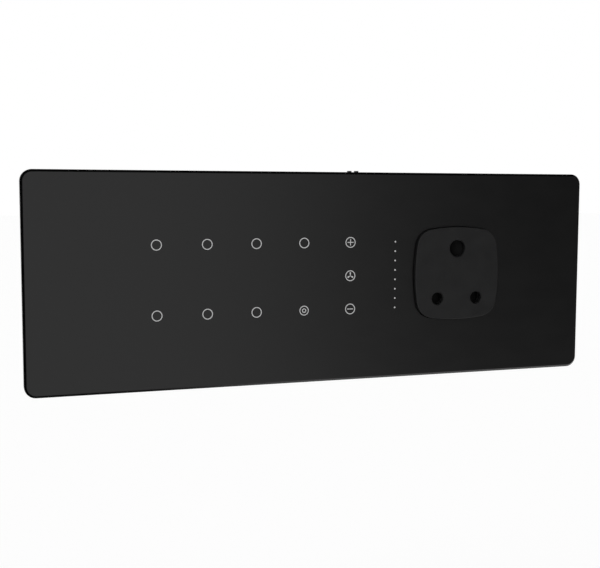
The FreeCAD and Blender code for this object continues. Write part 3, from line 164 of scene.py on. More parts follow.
# %% [markdown]
# A texture is looked up at a place. The solids have no flat map of their faces, and object coordinates
# need none: they are metres on the part itself, so a pattern keeps its true size and stays on the part
# when it moves. A stretched place gives a pattern a direction. The way a surface looks is useful too,
# because dust lies on what faces up.

# %% Helpers for patterns
def place_in(tree, stretch=(1, 1, 1)):
    """Object coordinates, scaled by three numbers."""
    place = add_node(tree, "TexCoord").outputs["Object"]
    return add_node(tree, "Mapping", Scale=stretch, Vector=place).outputs[0]


def noise(tree, scale, detail=2.0, stretch=(1, 1, 1)):
    """The strength of a noise texture."""
    made = add_node(tree, "TexNoise", Vector=place_in(tree, stretch), Scale=scale, Detail=detail)
    return made.outputs["Fac"]


def cells(tree, scale, **settings):
    """The distance that a cell texture gives."""
    made = add_node(tree, "TexVoronoi", **settings, Vector=place_in(tree), Scale=scale)
    return made.outputs["Distance"]


def normal_along(tree, axis):
    """How far the surface looks along an axis, from -1 to 1."""
    normal = add_node(tree, "NewGeometry").outputs["Normal"]
    return add_node(tree, "SeparateXYZ", Vector=normal).outputs[axis]


print("pattern helpers ready")

# %% [markdown]
# Some effects turn up in more than one finish, so each is a node group with named inputs and outputs.
# The first is the soft edge. No moulded or pressed part has a perfectly sharp edge: it catches a thin
# line of light, and it is where wear starts. We could bevel every solid, but then their meshes would
# change. The Bevel node looks round each point within a radius and gives the normal of a rounded edge
# instead. Where that normal leaves the true one, we are at an edge.

# %% Group: soft edge
def new_group(name, inputs, outputs):
    """An empty node group with float inputs and typed outputs."""
    group = bpy.data.node_groups.new(name, "ShaderNodeTree")
    for title, value in inputs.items():
        socket = group.interface.new_socket(title, in_out="INPUT", socket_type="NodeSocketFloat")
        socket.default_value = value
    for title, kind in outputs.items():
        group.interface.new_socket(title, in_out="OUTPUT", socket_type="NodeSocket" + kind)
    entry = group.nodes.new("NodeGroupInput")
    leave = group.nodes.new("NodeGroupOutput")
    return group, entry.outputs, leave.inputs


soft_edge, given, result = new_group(
    "soft edge", {"Radius": 0.0002, "Roughening": 0.5}, {"Normal": "Vector", "Edge": "Float"},
)
rounded = add_node(soft_edge, "Bevel", samples=6, Radius=given["Radius"]).outputs[0]
agreement = add_node(soft_edge, "VectorMath", operation="DOT_PRODUCT")
feed(agreement.inputs[0], rounded)
feed(agreement.inputs[1], add_node(soft_edge, "NewGeometry").outputs["Normal"])
bend = ramp(soft_edge, agreement.outputs["Value"], 0.995, 0.86)
patches = ramp(soft_edge, noise(soft_edge, 900.0), given["Roughening"], 0.75)
feed(result["Normal"], rounded)
feed(result["Edge"], maths(soft_edge, "MULTIPLY", bend, patches, clamp=True))
print("group made:", soft_edge.name)

# %% [markdown]
# The second group is spark-eroded grain, the fine matt pebble that moulds leave on plastic. A picture
# of grain would repeat and blur up close, so two sizes of noise make it: a fine one for the grain, and
# a broad one for the slight waviness and the patches of different gloss that a moulding has. It gives
# a height for a Bump node and a gloss mask.

# %% Group: moulded grain
moulded_grain, given, result = new_group(
    "moulded grain", {"Scale": 4000.0, "Waviness": 0.3}, {"Height": "Float", "Gloss patches": "Float"},
)
fine = noise(moulded_grain, given["Scale"], 3.0)
broad = noise(moulded_grain, 160.0)
wave = maths(moulded_grain, "MULTIPLY", broad, given["Waviness"])
feed(result["Height"], maths(moulded_grain, "ADD", fine, wave))
feed(result["Gloss patches"], ramp(moulded_grain, broad, 0.3, 0.7))
print("group made:", moulded_grain.name)

# %% [markdown]
# A deep moulding is pushed off its mould by pins, and each pin leaves a shallow round print on the side
# that held to the mould. Modelled prints would cost many faces for a hair's depth, so a mask makes
# them. They stand in rows, as the cells of a Voronoi texture do when it has no randomness. The side
# they are on is given as the sign of the normal along Y.

# %% Group: ejector prints
ejector_prints, given, result = new_group("ejector prints", {"Side": 1.0}, {"Print": "Float"})
spot = add_node(ejector_prints, "SeparateXYZ", Vector=place_in(ejector_prints))
plane = add_node(ejector_prints, "CombineXYZ", X=spot.outputs["X"], Y=spot.outputs["Z"])
rows = add_node(
    ejector_prints, "TexVoronoi",
    voronoi_dimensions="2D", Vector=plane.outputs[0], Scale=42.0, Randomness=0.0,
)
dish = ramp(ejector_prints, rows.outputs["Distance"], 0.075, 0.07)
towards = maths(ejector_prints, "MULTIPLY", normal_along(ejector_prints, "Y"), given["Side"])
held = ramp(ejector_prints, towards, 0.9, 0.95)
feed(result["Print"], maths(ejector_prints, "MULTIPLY", dish, held))
print("group made:", ejector_prints.name)

# %% [markdown]
# Dust lies on what faces up and gathers in drifts. Loose specks as objects would be slow, so a mask
# gives it: the upward part of the normal times a broken noise. The other group here is the fine drawn
# or ground lines of metal, which are noise stretched nearly forty times along one axis.

# %% Groups: settled dust and drawn lines
settled_dust, given, result = new_group("settled dust", {"Amount": 0.1, "Scale": 2600.0}, {"Dust": "Float"})
upward = ramp(settled_dust, normal_along(settled_dust, "Z"), 0.2, 1.0)
drift = ramp(settled_dust, noise(settled_dust, given["Scale"], 6.0), 0.3, 0.85)
lying = maths(settled_dust, "MULTIPLY", upward, drift)
feed(result["Dust"], maths(settled_dust, "MULTIPLY", lying, given["Amount"], clamp=True))

drawn_lines, given, result = new_group(
    "drawn lines", {"Scale": 60.0, "Contrast": 0.4}, {"Height": "Float", "Streaks": "Float"},
)
lines = noise(drawn_lines, given["Scale"], 4.0, stretch=(4, 150, 150))
streaked = maths(drawn_lines, "MULTIPLY", lines, noise(drawn_lines, 420.0, 5.0))
streaks = ramp(drawn_lines, streaked, 0.12, 0.4)
feed(result["Height"], lines)
feed(result["Streaks"], maths(drawn_lines, "MULTIPLY", streaks, given["Contrast"], clamp=True))
print("groups made:", settled_dust.name, "and", drawn_lines.name)

# %% [markdown]
# The last group is the copper side of a circuit board. Copper under the green lacquer stands a little
# proud and shows as a lighter green. A touch board has it as a hatch, thin lines at 45 degrees, so
# that it doesn't load the keys, and a power board has broad pours with gaps cut between them. Copper
# so thin is a matter of the surface, so masks give it: folded slants make the hatch, the gaps between
# the square cells of a Voronoi texture part the pours, and round cells are the plated holes.

# %% Group: board copper
HATCH_PITCH = 0.0018

board_copper, given, result = new_group(
    "board copper", {"Track scale": 70.0, "Hole scale": 150.0, "Hatch": 0.0},
    {"Track": "Float", "Plated": "Float", "Hole": "Float"},
)
second = cells(board_copper, given["Track scale"], distance="CHEBYCHEV", feature="F2")
nearest = cells(board_copper, given["Track scale"], distance="CHEBYCHEV")
pours = ramp(board_copper, maths(board_copper, "SUBTRACT", second, nearest), 0.04, 0.055)
flat_place = add_node(board_copper, "SeparateXYZ", Vector=place_in(board_copper)).outputs
hatch_lines = []
for operation in ("ADD", "SUBTRACT"):
    slant = maths(board_copper, operation, flat_place["X"], flat_place["Z"])
    distance = maths(board_copper, "PINGPONG", slant, HATCH_PITCH / 2)
    hatch_lines.append(ramp(board_copper, distance, 0.00026, 0.0002))
hatch = maths(board_copper, "MAXIMUM", *hatch_lines)
chosen = add_node(board_copper, "Mix", Factor=given["Hatch"], A=pours, B=hatch)
holes = cells(board_copper, given["Hole scale"])
feed(result["Track"], chosen.outputs["Result"])
feed(result["Plated"], ramp(board_copper, holes, 0.11, 0.1))
feed(result["Hole"], ramp(board_copper, holes, 0.055, 0.05))
print("group made:", board_copper.name)

# %% [markdown]
# Now a finish is a Principled shader with those groups placed round it. Each one starts the same way:
# a material with its plain values, noted under the name of its slot so that the parts can ask for it
# later. Grain and scratches could be real relief, but they would need millions of faces. A Bump node
# only bends the light as if they were there, and for marks this fine nobody can tell.

# %% Helpers for finishes
finishes = {}


def place_group(tree, group, **inputs):
    """Places a group in a material, sets its inputs and gives its outputs."""
    return add_node(tree, "Group", node_tree=group, **inputs).outputs


def start_finish(slot, roughness, metallic=0.0, specular=0.5):
    """A new finish: its tree of nodes and its shader's inputs."""
    material = bpy.data.materials.new(slot.replace("_", " "))
    material.use_nodes = True
    shader = material.node_tree.nodes["Principled BSDF"].inputs
    feed(shader["Roughness"], roughness)
    feed(shader["Metallic"], metallic)
    feed(shader["Specular IOR Level"], specular)
    finishes[slot] = material
    return material.node_tree, shader


def bump(tree, shader, height, distance, normal=None):
    """Raises the surface by a height pattern and feeds the shader's normal."""
    made = add_node(tree, "Bump", Distance=distance, Height=height)
    if normal is not None:
        feed(made.inputs["Normal"], normal)
    feed(shader["Normal"], made.outputs[0])


print("finish helpers ready")

# %% [markdown]
# Most parts here are moulded plastic or plated metal. Each could have a network of its own, but they are
# made alike and they wear alike, so two functions make nearly all of them: a soft edge, a grain or
# fine lines that bump the surface, and an edge colour where the part is rubbed. Each finish then
# gives only its own colours and numbers.

# %% Plastic and metal
DUST_GREY = (0.32, 0.31, 0.29)


def moulding(
    slot, colour, edge_colour, roughness,
    grain=4000.0, depth=0.000012, edge=0.0002, dust=0.1, specular=0.5, prints=0.0,
):
    """A moulded plastic: grain, gloss patches, rubbed edges and a little dust."""
    tree, shader = start_finish(slot, roughness, specular=specular)
    edges = place_group(tree, soft_edge, Radius=edge)
    grained = place_group(tree, moulded_grain, Scale=grain)
    dusty = place_group(tree, settled_dust, Amount=dust)
    patchy = maths(tree, "MULTIPLY", grained["Gloss patches"], 0.12)
    rubbed = blend(tree, edges["Edge"], colour, edge_colour)
    varied = blend(tree, patchy, rubbed, edge_colour)
    feed(shader["Base Color"], blend(tree, dusty["Dust"], varied, DUST_GREY))
    feed(shader["Roughness"], maths(tree, "ADD", patchy, roughness - 0.06))
    height = grained["Height"]
    if prints:
        pressed = place_group(tree, ejector_prints, Side=prints)
        height = maths(tree, "SUBTRACT", height, maths(tree, "MULTIPLY", pressed["Print"], 10.0))
    bump(tree, shader, height, depth, edges["Normal"])


def metal(slot, colour, dull_colour, roughness, edge=0.0001, scale=60.0):
    """A drawn, rolled or plated metal: fine lines, dull patches and bright edges."""
    tree, shader = start_finish(slot, roughness, metallic=1.0)
    edges = place_group(tree, soft_edge, Radius=edge, Roughening=0.35)
    drawn = place_group(tree, drawn_lines, Scale=scale, Contrast=0.5)
    dulled = blend(tree, drawn["Streaks"], colour, dull_colour)
    bright = [min(1.0, 1.15 * part) for part in colour]
    feed(shader["Base Color"], blend(tree, edges["Edge"], dulled, bright))
    rough = maths(tree, "MULTIPLY", drawn["Streaks"], 0.3)
    feed(shader["Roughness"], maths(tree, "ADD", rough, roughness))
    bump(tree, shader, drawn["Height"], 0.000006, edges["Normal"])


print("plastic and metal ready")

# %% [markdown]
# The front is glass painted black on its back. A clear glass over a black sheet would be a shader for
# each, but from the side that shows it is just a very dark, smooth surface with a soft sheen. In the
# photograph the sheen is a plain gradient, lighter at the left, so the surface isn't a clear mirror.
# We use a near-black base, a satin roughness and the faintest waviness, and leave the gradient to
# what the panel reflects. The marks are a pale filled enamel, and behind the glass are a milky film
# and foam. Enamel, film and board lacquer are all thin coats that waver between two tones.

# %% Finishes of the front
def black_glass():
    """Glass painted black behind, with faint smears."""
    tree, shader = start_finish("black_glass", 0.33, specular=0.41)
    edges = place_group(tree, soft_edge, Radius=0.00025)
    smeared = ramp(tree, noise(tree, 70.0, 4.0, stretch=(1, 1, 2.5)), 0.35, 0.75)
    feed(shader["Base Color"], blend(tree, smeared, (0.001, 0.001, 0.0011), (0.0016, 0.0016, 0.0016)))
    feed(shader["Roughness"], maths(tree, "ADD", maths(tree, "MULTIPLY", smeared, 0.02), 0.32))
    bump(tree, shader, noise(tree, 45.0), 0.000004, edges["Normal"])


def thin_coat(slot, dark, light, roughness, scale, depth, detail=3.0, specular=0.5, edge=0.0):
    """A printed, painted or drawn coat that wavers a little between two tones."""
    tree, shader = start_finish(slot, roughness, specular=specular)
    cloud = noise(tree, scale, detail)
    feed(shader["Base Color"], blend(tree, cloud, dark, light))
    normal = place_group(tree, soft_edge, Radius=edge)["Normal"] if edge else None
    bump(tree, shader, cloud, depth, normal)


def foam(slot, colour, cell_scale):
    """Closed-cell foam: round cells that show where it is cut, their hollows painted darker as shade."""
    tree, shader = start_finish(slot, 0.9, specular=0.2)
    pits = ramp(tree, cells(tree, cell_scale), 0.1, 0.5)
    # The middle of each cell is painted at about half the colour, as shade in its hollow.
    feed(shader["Base Color"], blend(tree, pits, [0.55 * part for part in colour], colour))
    bump(tree, shader, pits, 0.00006)


black_glass()
thin_coat("mark_enamel", (0.42, 0.42, 0.42), (0.5, 0.5, 0.5), 0.5, 2500.0, 0.000008, specular=0.3)
thin_coat("diffuser", (0.8, 0.8, 0.76), (0.88, 0.88, 0.86), 0.45, 300.0, 0.00001, detail=4.0)
foam("tape_foam", (0.03, 0.03, 0.03), 3500.0)
foam("conductive_foam", (0.12, 0.12, 0.125), 2500.0)
print("front finishes:", sorted(finishes))

# %% [markdown]
# Most of the panel is moulded. The parts differ in colour, in how coarse the grain of their mould is
# and in how far the edges rub: the carrier and housing are matt, the socket cover is a finer satin,
# and the relay cases and the lamps are glossy. Each line names a slot, the colour, the colour of its
# rubbed edges and the roughness, and then only what differs from a common moulding.

# %% Finishes of the mouldings
moulding("frame_plastic", (0.03, 0.03, 0.032), (0.08, 0.08, 0.082), 0.5, prints=1.0)
moulding(
    "housing_plastic", (0.055, 0.057, 0.06), (0.12, 0.122, 0.126), 0.52,
    grain=3000.0, depth=0.00002, prints=-1.0,
)
moulding("rivet_nylon", (0.7, 0.69, 0.64), (0.8, 0.79, 0.74), 0.4, grain=6000.0)
moulding("barrier_plastic", (0.72, 0.72, 0.68), (0.82, 0.82, 0.79), 0.42, grain=5000.0)
moulding("header_nylon", (0.02, 0.02, 0.022), (0.06, 0.06, 0.062), 0.42)
moulding("relay_base", (0.02, 0.02, 0.02), (0.05, 0.05, 0.05), 0.5)
moulding(
    "relay_case", (0.02, 0.08, 0.3), (0.08, 0.18, 0.45), 0.24, grain=1500.0, depth=0.000004, edge=0.0004,
)
moulding("module_case", (0.03, 0.03, 0.03), (0.07, 0.07, 0.07), 0.36, grain=2500.0)
moulding("terminal_plastic", (0.05, 0.3, 0.14), (0.12, 0.42, 0.22), 0.38, grain=3500.0, edge=0.00025)
moulding(
    "socket_plastic", (0.0066, 0.0066, 0.0068), (0.014, 0.014, 0.014), 0.42,
    grain=7000.0, depth=0.000004, edge=0.00008, dust=0.0, specular=0.3,
)
moulding("socket_moulding", (0.06, 0.06, 0.062), (0.12, 0.12, 0.122), 0.34, grain=1800.0)
# The shutter is black acetal, and its colour is set darker still as painted shade, so that the pin holes in
# front of it look deep.
moulding("shutter_plastic", (0.003, 0.003, 0.003), (0.006, 0.006, 0.006), 0.6, dust=0.0, specular=0.1)
moulding("film_capacitor", (0.75, 0.6, 0.12), (0.85, 0.72, 0.3), 0.3, grain=2500.0, edge=0.0003)
moulding("varistor_coat", (0.05, 0.16, 0.5), (0.12, 0.26, 0.6), 0.32, grain=900.0, depth=0.00003)
moulding("chip_epoxy", (0.02, 0.02, 0.02), (0.05, 0.05, 0.05), 0.55, grain=9000.0)
moulding("capacitor_sleeve", (0.03, 0.03, 0.05), (0.08, 0.08, 0.11), 0.22)
moulding("fuse_ceramic", (0.85, 0.83, 0.76), (0.9, 0.88, 0.82), 0.28, grain=2200.0)
moulding("lamp_resin", (0.9, 0.88, 0.78), (0.95, 0.93, 0.86), 0.2, grain=1500.0, dust=0.0)
print("finishes so far:", len(finishes))

# %% [markdown]
# The metals come next. Plated screws are bright and slightly streaked, brass contacts are warm with
# dull patches where fingers have touched them, the heat sink shows the long lines of its extrusion
# die, and spring wire is dark. The colour of a metal is the tint of what it mirrors, and a metallic
# shader takes that from its base colour. So each line gives that colour, a second one for the dull
# streaks, and the roughness.

# %% Finishes of the metals
metal("tinned_steel", (0.62, 0.62, 0.6), (0.42, 0.42, 0.41), 0.26)
metal("gilt_pin", (0.83, 0.62, 0.26), (0.6, 0.44, 0.2), 0.2)
metal("clip_metal", (0.72, 0.7, 0.62), (0.5, 0.46, 0.38), 0.28)
metal("heatsink_metal", (0.75, 0.75, 0.76), (0.5, 0.5, 0.51), 0.38, scale=45.0)
metal("plated_clamp", (0.72, 0.7, 0.64), (0.46, 0.43, 0.38), 0.28)
metal("zinc_screw", (0.66, 0.66, 0.64), (0.42, 0.42, 0.4), 0.3, edge=0.00008)
metal("contact_brass", (0.8, 0.62, 0.28), (0.5, 0.36, 0.18), 0.24)
metal("spring_steel", (0.42, 0.42, 0.42), (0.2, 0.2, 0.21), 0.3, edge=0.00003)
print("finishes so far:", len(finishes))

# %% [markdown]
# A circuit board is woven glass and resin with copper on it, lacquered green all over but for the
# plated holes, and bare laminate where it is cut. Each layer could be a thin sheet, but they are far
# thinner than a render shows. So one material lays them over one another, from the weave up, and the
# way the surface looks tells the faces from the cut edges. The tracks that are modelled later get
# the plain lacquer, lighter where there is copper under it.

# %% Finishes of the boards
BOARD_GREEN = (0.02, 0.085, 0.045)


def lacquered_board(slot, over_copper, hatch):
    """Green lacquer over copper, with plated holes whose middles are painted near black as shade, and bare
    laminate on the cut edges.
    """
    tree, shader = start_finish(slot, 0.34)
    copper = place_group(tree, board_copper, Hatch=hatch)
    dusty = place_group(tree, settled_dust, Amount=0.1)
    edges = place_group(tree, soft_edge, Radius=0.00012)
    weave = add_node(
        tree, "TexBrick", Vector=place_in(tree), Scale=1400.0, Color1=BOARD_GREEN,
        Color2=[1.12 * part for part in BOARD_GREEN], Mortar=[0.85 * part for part in BOARD_GREEN],
    )
    tracked = blend(tree, copper["Track"], weave.outputs["Color"], over_copper)
    plated = blend(tree, copper["Plated"], tracked, (0.62, 0.58, 0.46))
    # No bore is modelled, so the middle of each hole is painted near black as shade.
    holes_painted_dark = blend(tree, copper["Hole"], plated, (0.01, 0.01, 0.01))
    on_face = ramp(tree, maths(tree, "ABSOLUTE", normal_along(tree, "Y")), 0.4, 0.6)
    cut = blend(tree, on_face, (0.32, 0.3, 0.14), holes_painted_dark)
    feed(shader["Base Color"], blend(tree, dusty["Dust"], cut, (0.3, 0.3, 0.27)))
    feed(shader["Metallic"], maths(tree, "SUBTRACT", copper["Plated"], copper["Hole"], clamp=True))
    height = maths(tree, "SUBTRACT", maths(tree, "ADD", copper["Track"], copper["Plated"]), copper["Hole"])
    bump(tree, shader, height, 0.00003, edges["Normal"])


lacquered_board("touch_laminate", (0.03, 0.12, 0.065), 1.0)
lacquered_board("power_laminate", (0.035, 0.13, 0.07), 0.0)
thin_coat("track_lacquer", (0.045, 0.18, 0.095), (0.06, 0.22, 0.12), 0.32, 1500.0, 0.000006, edge=0.00004)
thin_coat("bare_lacquer", (0.012, 0.05, 0.028), (0.016, 0.065, 0.035), 0.32, 1500.0, 0.000006, edge=0.00004)
print("finishes in all:", len(finishes))

# %% [markdown]
# The CAD solids take their finish by node. We could list every node again here, but the record of the
# CAD model already says which slot each one has, and the finishes have the names of those slots. We
# clear the plain colour that came with the solid and put ours in its place.

# %% Finishes on the solids
def wear(solid, finish):
    """Gives an object one finish and nothing else."""
    solid.data.materials.clear()
    solid.data.materials.append(finishes[finish])


for part in frame["record"]["subparts"]:
    wear(nodes[part["node"]], part["material_slot"])

# %% [markdown]
# Some solids stand for parts that have more form than the CAD model needs: screws with a recess and a
# thread, a wound spring, chips with legs. We build those as meshes and let them stand in for the
# solid. The solids give the places, so first we need the box of each separate solid of a node.
# Blender can split a mesh by its loose parts, but the solids have to stay whole. So we sort their
# corners into sets: faces that share a corner belong together, and corners are the same where their
# rounded coordinates are.

# %% Helper: the separate solids of a node
def solids_of(name):
    """Lowest and highest corner of each separate solid of a node, in order of place."""
    mesh = nodes[name].data
    keys = [tuple(round(part * 1e6) for part in vertex.co) for vertex in mesh.vertices]
    solid_of = {key: {key} for key in keys}
    for face in mesh.polygons:
        joined = solid_of[keys[face.vertices[0]]]
        for corner in face.vertices[1:]:
            other = solid_of[keys[corner]]
            if other is not joined:
                joined |= other
                solid_of.update(dict.fromkeys(other, joined))
    boxes = []
    for corners in {id(solid): solid for solid in solid_of.values()}.values():
        along_axes = list(zip(*corners))
        low, high = (Vector([pick(along) for along in along_axes]) / 1e6 for pick in (min, max))
        boxes.append((low, high))
    return sorted(boxes, key=lambda box: tuple(box[0]))


def middle(low, high):
    """The middle of a box."""
    return (low + high) / 2


print("relays found:", len(solids_of("relay_cases")))

# %% [markdown]
# Nearly every small part here is a skin over a row of closed rings: a turned screw, a rounded block,
# a coil of wire. Blender's own primitives have none of these forms, so one helper, skin, does the
# work. It joins each ring to the next with faces and closes both ends. The others only make the
# rings, and a turned part is circles along an axis. Each helper adds to a shape and gives it back.

# %% Helpers: rings and skins
ALONG_X = Vector((1, 0, 0))
ALONG_Y = Vector((0, 1, 0))
ALONG_Z = Vector((0, 0, 1))


def skin(shape, rings):
    """Joins rings of equal length into a closed skin."""
    rows = [[shape.verts.new(point) for point in ring] for ring in rings]
    for first, second in zip(rows, rows[1:]):
        for number in range(len(first)):
            following = (number + 1) % len(first)
            shape.faces.new((first[number], first[following], second[following], second[number]))
    shape.faces.new(rows[0])
    shape.faces.new(reversed(rows[-1]))
    return shape


def circle_ring(centre, towards, radius, sides=32):
    """A circle of points round an axis. The radius may be a number or a function of the turn."""
    side = towards.orthogonal().normalized()
    other = towards.cross(side)
    points = []
    for number in range(sides):
        share = number / sides
        reach = radius(share) if callable(radius) else radius
        angle = share * math.tau
        points.append(centre + (side * math.cos(angle) + other * math.sin(angle)) * reach)
    return points


def turned(shape, start, towards, profile, sides=32):
    """A turned part: pairs of distance along the axis and radius, both in mm."""
    return skin(shape, [
        circle_ring(start + towards * along * MM, towards, radius * MM, sides) for along, radius in profile
    ])


print("turning helpers ready")

# %% [markdown]
# A moulded block has round corners in its outline and a round edge where its face meets its sides. A
# Bevel modifier gives both the same radius, and here they differ, so the block is a skin too: its
# rings are the outline at each level, drawn in a little more at each step of the round edge. A sunk
# panel is two more rings.

# %% Helpers: moulded blocks
EDGE_STEPS = 4
CORNER_STEPS = 5


def rounded_ring(low, high, level, corner, inset=0.0, steps=CORNER_STEPS):
    """A rectangle with round corners across Y, at one level, drawn in from its edge by the inset."""
    radius = max(corner - inset, 0.02 * MM)
    points = []
    corners = (
        (high.x - inset - radius, high.z - inset - radius, 0),
        (low.x + inset + radius, high.z - inset - radius, 1),
        (low.x + inset + radius, low.z + inset + radius, 2),
        (high.x - inset - radius, low.z + inset + radius, 3),
    )
    for x, z, quarter in corners:
        for step in range(steps + 1):
            angle = (quarter + step / steps) * math.pi / 2
            points.append(Vector((x + radius * math.cos(angle), level, z + radius * math.sin(angle))))
    return points


def moulded_block(shape, low, high, corner=0.5, edge=0.3, panel=0.0, sink=0.0, facing=-1):
    """A block with round edges on the face it shows along Y, and a sunk panel if it has one, in mm."""
    face, back = (high.y, low.y) if facing > 0 else (low.y, high.y)
    into = -facing * MM
    rings = [rounded_ring(low, high, back, corner * MM, 0.5 * edge * MM)]
    rings.append(rounded_ring(low, high, back - 0.5 * edge * into, corner * MM))
    for step in range(EDGE_STEPS + 1):
        angle = step / EDGE_STEPS * math.pi / 2
        inset = edge * (1 - math.cos(angle)) * MM
        level = face + edge * (1 - math.sin(angle)) * into
        rings.append(rounded_ring(low, high, level, corner * MM, inset))
    if panel:
        rings.append(rounded_ring(low, high, face, corner * MM, panel * MM))
        rings.append(rounded_ring(low, high, face + sink * into, corner * MM, (panel + 0.5 * sink) * MM))
    return skin(shape, rings)


print("block helpers ready")

# %% [markdown]
# A shape becomes a piece of the panel when it has a finish and a body that it moves with, and where it
# stands for solids, those solids are hidden. Curved faces are shaded smooth, and any edge sharper than
# 35 degrees stays sharp. A modifier could tell the two apart each time, but marked edges are part of
# the mesh, so they go wherever it goes.

# %% Helpers: pieces
SHARP = math.radians(35)


def new_object(name, shape):
    """An object of a shape, linked to the scene. The shape is used up."""
    bmesh.ops.recalc_face_normals(shape, faces=shape.faces)
    mesh = bpy.data.meshes.new(name)
    shape.to_mesh(mesh)
    shape.free()
    return put_in_scene(name, mesh)


def new_piece(name, shape, finish, *stands_for, body="base", slot=""):
    """A finished piece that rides on a body and stands for the named solids."""
    piece = new_object(name, shape)
    piece.data.shade_smooth()
    piece.data.set_sharp_from_angle(angle=SHARP)
    wear(piece, finish)
    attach(piece, body)
    if stands_for:
        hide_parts(*stands_for)
    print(name, "has", len(piece.data.vertices), "points, in", finish)
    return piece


print("piece helpers ready")

# %% [markdown]
# Recesses, wells and bores run into faces that are already there. We could work out by hand where they
# meet, but a Boolean modifier does it, so a throwaway object carries it, and its result is turned
# back into a plain shape. Most cutters are turned or are plain boxes. What turns up more than once
# is made once and copied, each copy turned and moved to its place.

# %% Helpers: cuts and copies
def add_box(shape, low, high):
    """Adds a plain box, which is enough for most cutters."""
    corners = ((low.x, low.z), (high.x, low.z), (high.x, high.z), (low.x, high.z))
    return skin(shape, [[Vector((x, level, z)) for x, z in corners] for level in (low.y, high.y)])


def carved(shape, *cutters):
    """The shape with the cutters taken out."""
    block = new_object("block", shape)
    tools = [new_object("cutter", cutter) for cutter in cutters]
    for tool in tools:
        cut = block.modifiers.new("cut", "BOOLEAN")
        cut.operation = "DIFFERENCE"
        cut.solver = "EXACT"
        cut.object = tool
    depsgraph = bpy.context.evaluated_depsgraph_get()
    mesh = bpy.data.meshes.new_from_object(block.evaluated_get(depsgraph))
    made = bmesh.new()
    made.from_mesh(mesh)
    for thing in [block] + tools:
        bpy.data.objects.remove(thing)
    bpy.data.meshes.remove(mesh)
    return made


def copied(shape, source, place=Vector(), turn=Matrix.Identity(4)):
    """Adds a copy of one shape to another, turned and then moved."""
    mesh = bpy.data.meshes.new("copy")
    source.to_mesh(mesh)
    mesh.transform(Matrix.Translation(place) @ turn)
    shape.from_mesh(mesh)
    bpy.data.meshes.remove(mesh)
    return shape


print("cutting helpers ready")

# %% [markdown]
# The panel has twenty-three screws of five kinds. All are turned with a slightly domed head, a recess
# for the driver and a rolled thread. The Screw modifier could wind a thread, but it leaves it open at
# its ends. Here the whole screw is one skin: the radius of each ring falls and rises once a turn, and
# the place of the low point moves round as we go down, which makes a true helix. Terminal screws have
# a slot, and the screws in plastic have a cross.

# %% Shape of a screw
SCREW_SIDES = 28
THREAD_PITCH = 0.8
THREAD_STEPS = 6
THREAD_DEPTH = 0.3 * THREAD_PITCH


def thread_radius(turns, share, shank):
    """The radius of the thread after some turns, at a share of the way round. It starts gently."""
    depth = THREAD_DEPTH * min(1.0, turns)
    phase = (turns + share) % 1
    return shank - depth * (1 - abs(2 * phase - 1))


def screw_ring(level, radius):
    """One ring of a screw. The radius may be a number or a function of the turn."""
    return circle_ring(ALONG_Y * level * MM, ALONG_Y, radius, SCREW_SIDES)


def screw_shape(head, head_height, shank, length, recess):
    """One screw along +Y from the crown of its head at the origin. Sizes in mm."""
    profile = (
        (0.06, 0.3 * head), (0.09, 0.6 * head), (0.18, 0.86 * head), (0.34, 0.97 * head), (0.5, head),
        (head_height - 0.1, head), (head_height, head - 0.1), (head_height, shank),
    )
    rings = [screw_ring(level, radius * MM) for level, radius in profile]
    count = round((length - head_height - shank) / THREAD_PITCH * THREAD_STEPS)
    for number in range(count + 1):
        turns = number / THREAD_STEPS
        level = head_height + 0.05 + turns * THREAD_PITCH
        rings.append(screw_ring(level, lambda share: thread_radius(turns, share, shank) * MM))
    rings.append(screw_ring(length, 0.35 * shank * MM))
    width = 0.17 * head
    deep = 0.55 * head_height
    reach = 1.1 * head if recess == "slot" else 0.62 * head
    ways = ((width, reach), (reach, width)) if recess == "cross" else ((width, reach),)
    cuts = [
        add_box(bmesh.new(), Vector((-across, -1, -along)) * MM, Vector((across, deep, along)) * MM)
        for across, along in ways
    ]
    return carved(skin(bmesh.new(), rings), *cuts)


print("screw shape ready")

# %% [markdown]
# Each kind of screw is made once and copied to the places of its solids, turned a little further each
# time, because no fitter leaves all slots in line. Linked copies would share one mesh, but a node's
# screws are one piece of the panel, so the copies are joined.

# %% Screws
def screws(name, node, head_height, shank_share, recess, facing, twist=37):
    """Screws in place of a node's solids. Facing is the way their heads look along Y."""
    boxes = solids_of(node)
    low, high = boxes[0]
    head = (high.x - low.x) / 2 / MM
    one = screw_shape(head, head_height, shank_share * head, (high.y - low.y) / MM, recess)
    every = bmesh.new()
    for number, (low, high) in enumerate(boxes):
        centre = middle(low, high)
        crown = high.y if facing > 0 else low.y
        turn = Matrix.Rotation(math.radians(twist * number), 4, "Y")
        if facing > 0:
            turn = Matrix.Rotation(math.pi, 4, "Z") @ turn
        copied(every, one, Vector((centre.x, crown, centre.z)), turn)
    new_piece(name, every, "zinc_screw", node)


screws("terminal_screws_turned", "terminal_screws", 1.6, 0.71, "slot", 1, twist=53)
screws("contact_screws_turned", "contact_screws", 1.5, 0.65, "slot", 1)
screws("back_plate_screws_turned", "back_plate_screws", 1.6, 0.52, "cross", 1)
screws("board_screws_turned", "board_screws", 1.6, 0.52, "cross", -1)
screws("cover_screws_turned", "socket_cover_screws", 1.2, 0.53, "cross", -1)

# %% [markdown]
# The shutter's return spring is wound wire, closed at both ends so that it stands square. A curve with
# a round bevel would draw it, and a skin does the same with its ends closed: a circle of wire is
# carried along a helix, and the pitch is small in the end turns and wide between them. The spring
# can't follow the shutter as a stiff piece, so it rides on the base and has a mesh of its own.

# %% Shutter spring
WIRE = 0.4 * MM
WIRE_SIDES = 10
SPRING_TURNS = 7
STEPS_A_TURN = 30

spring_low, spring_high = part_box("shutter_spring")
spring_middle = middle(spring_low, spring_high)
spring_radius = (spring_high.z - spring_low.z) / 2 - WIRE / 2
closed_pitch = 1.08 * WIRE
open_pitch = (spring_high.x - spring_low.x - WIRE - 2 * closed_pitch) / (SPRING_TURNS - 2)


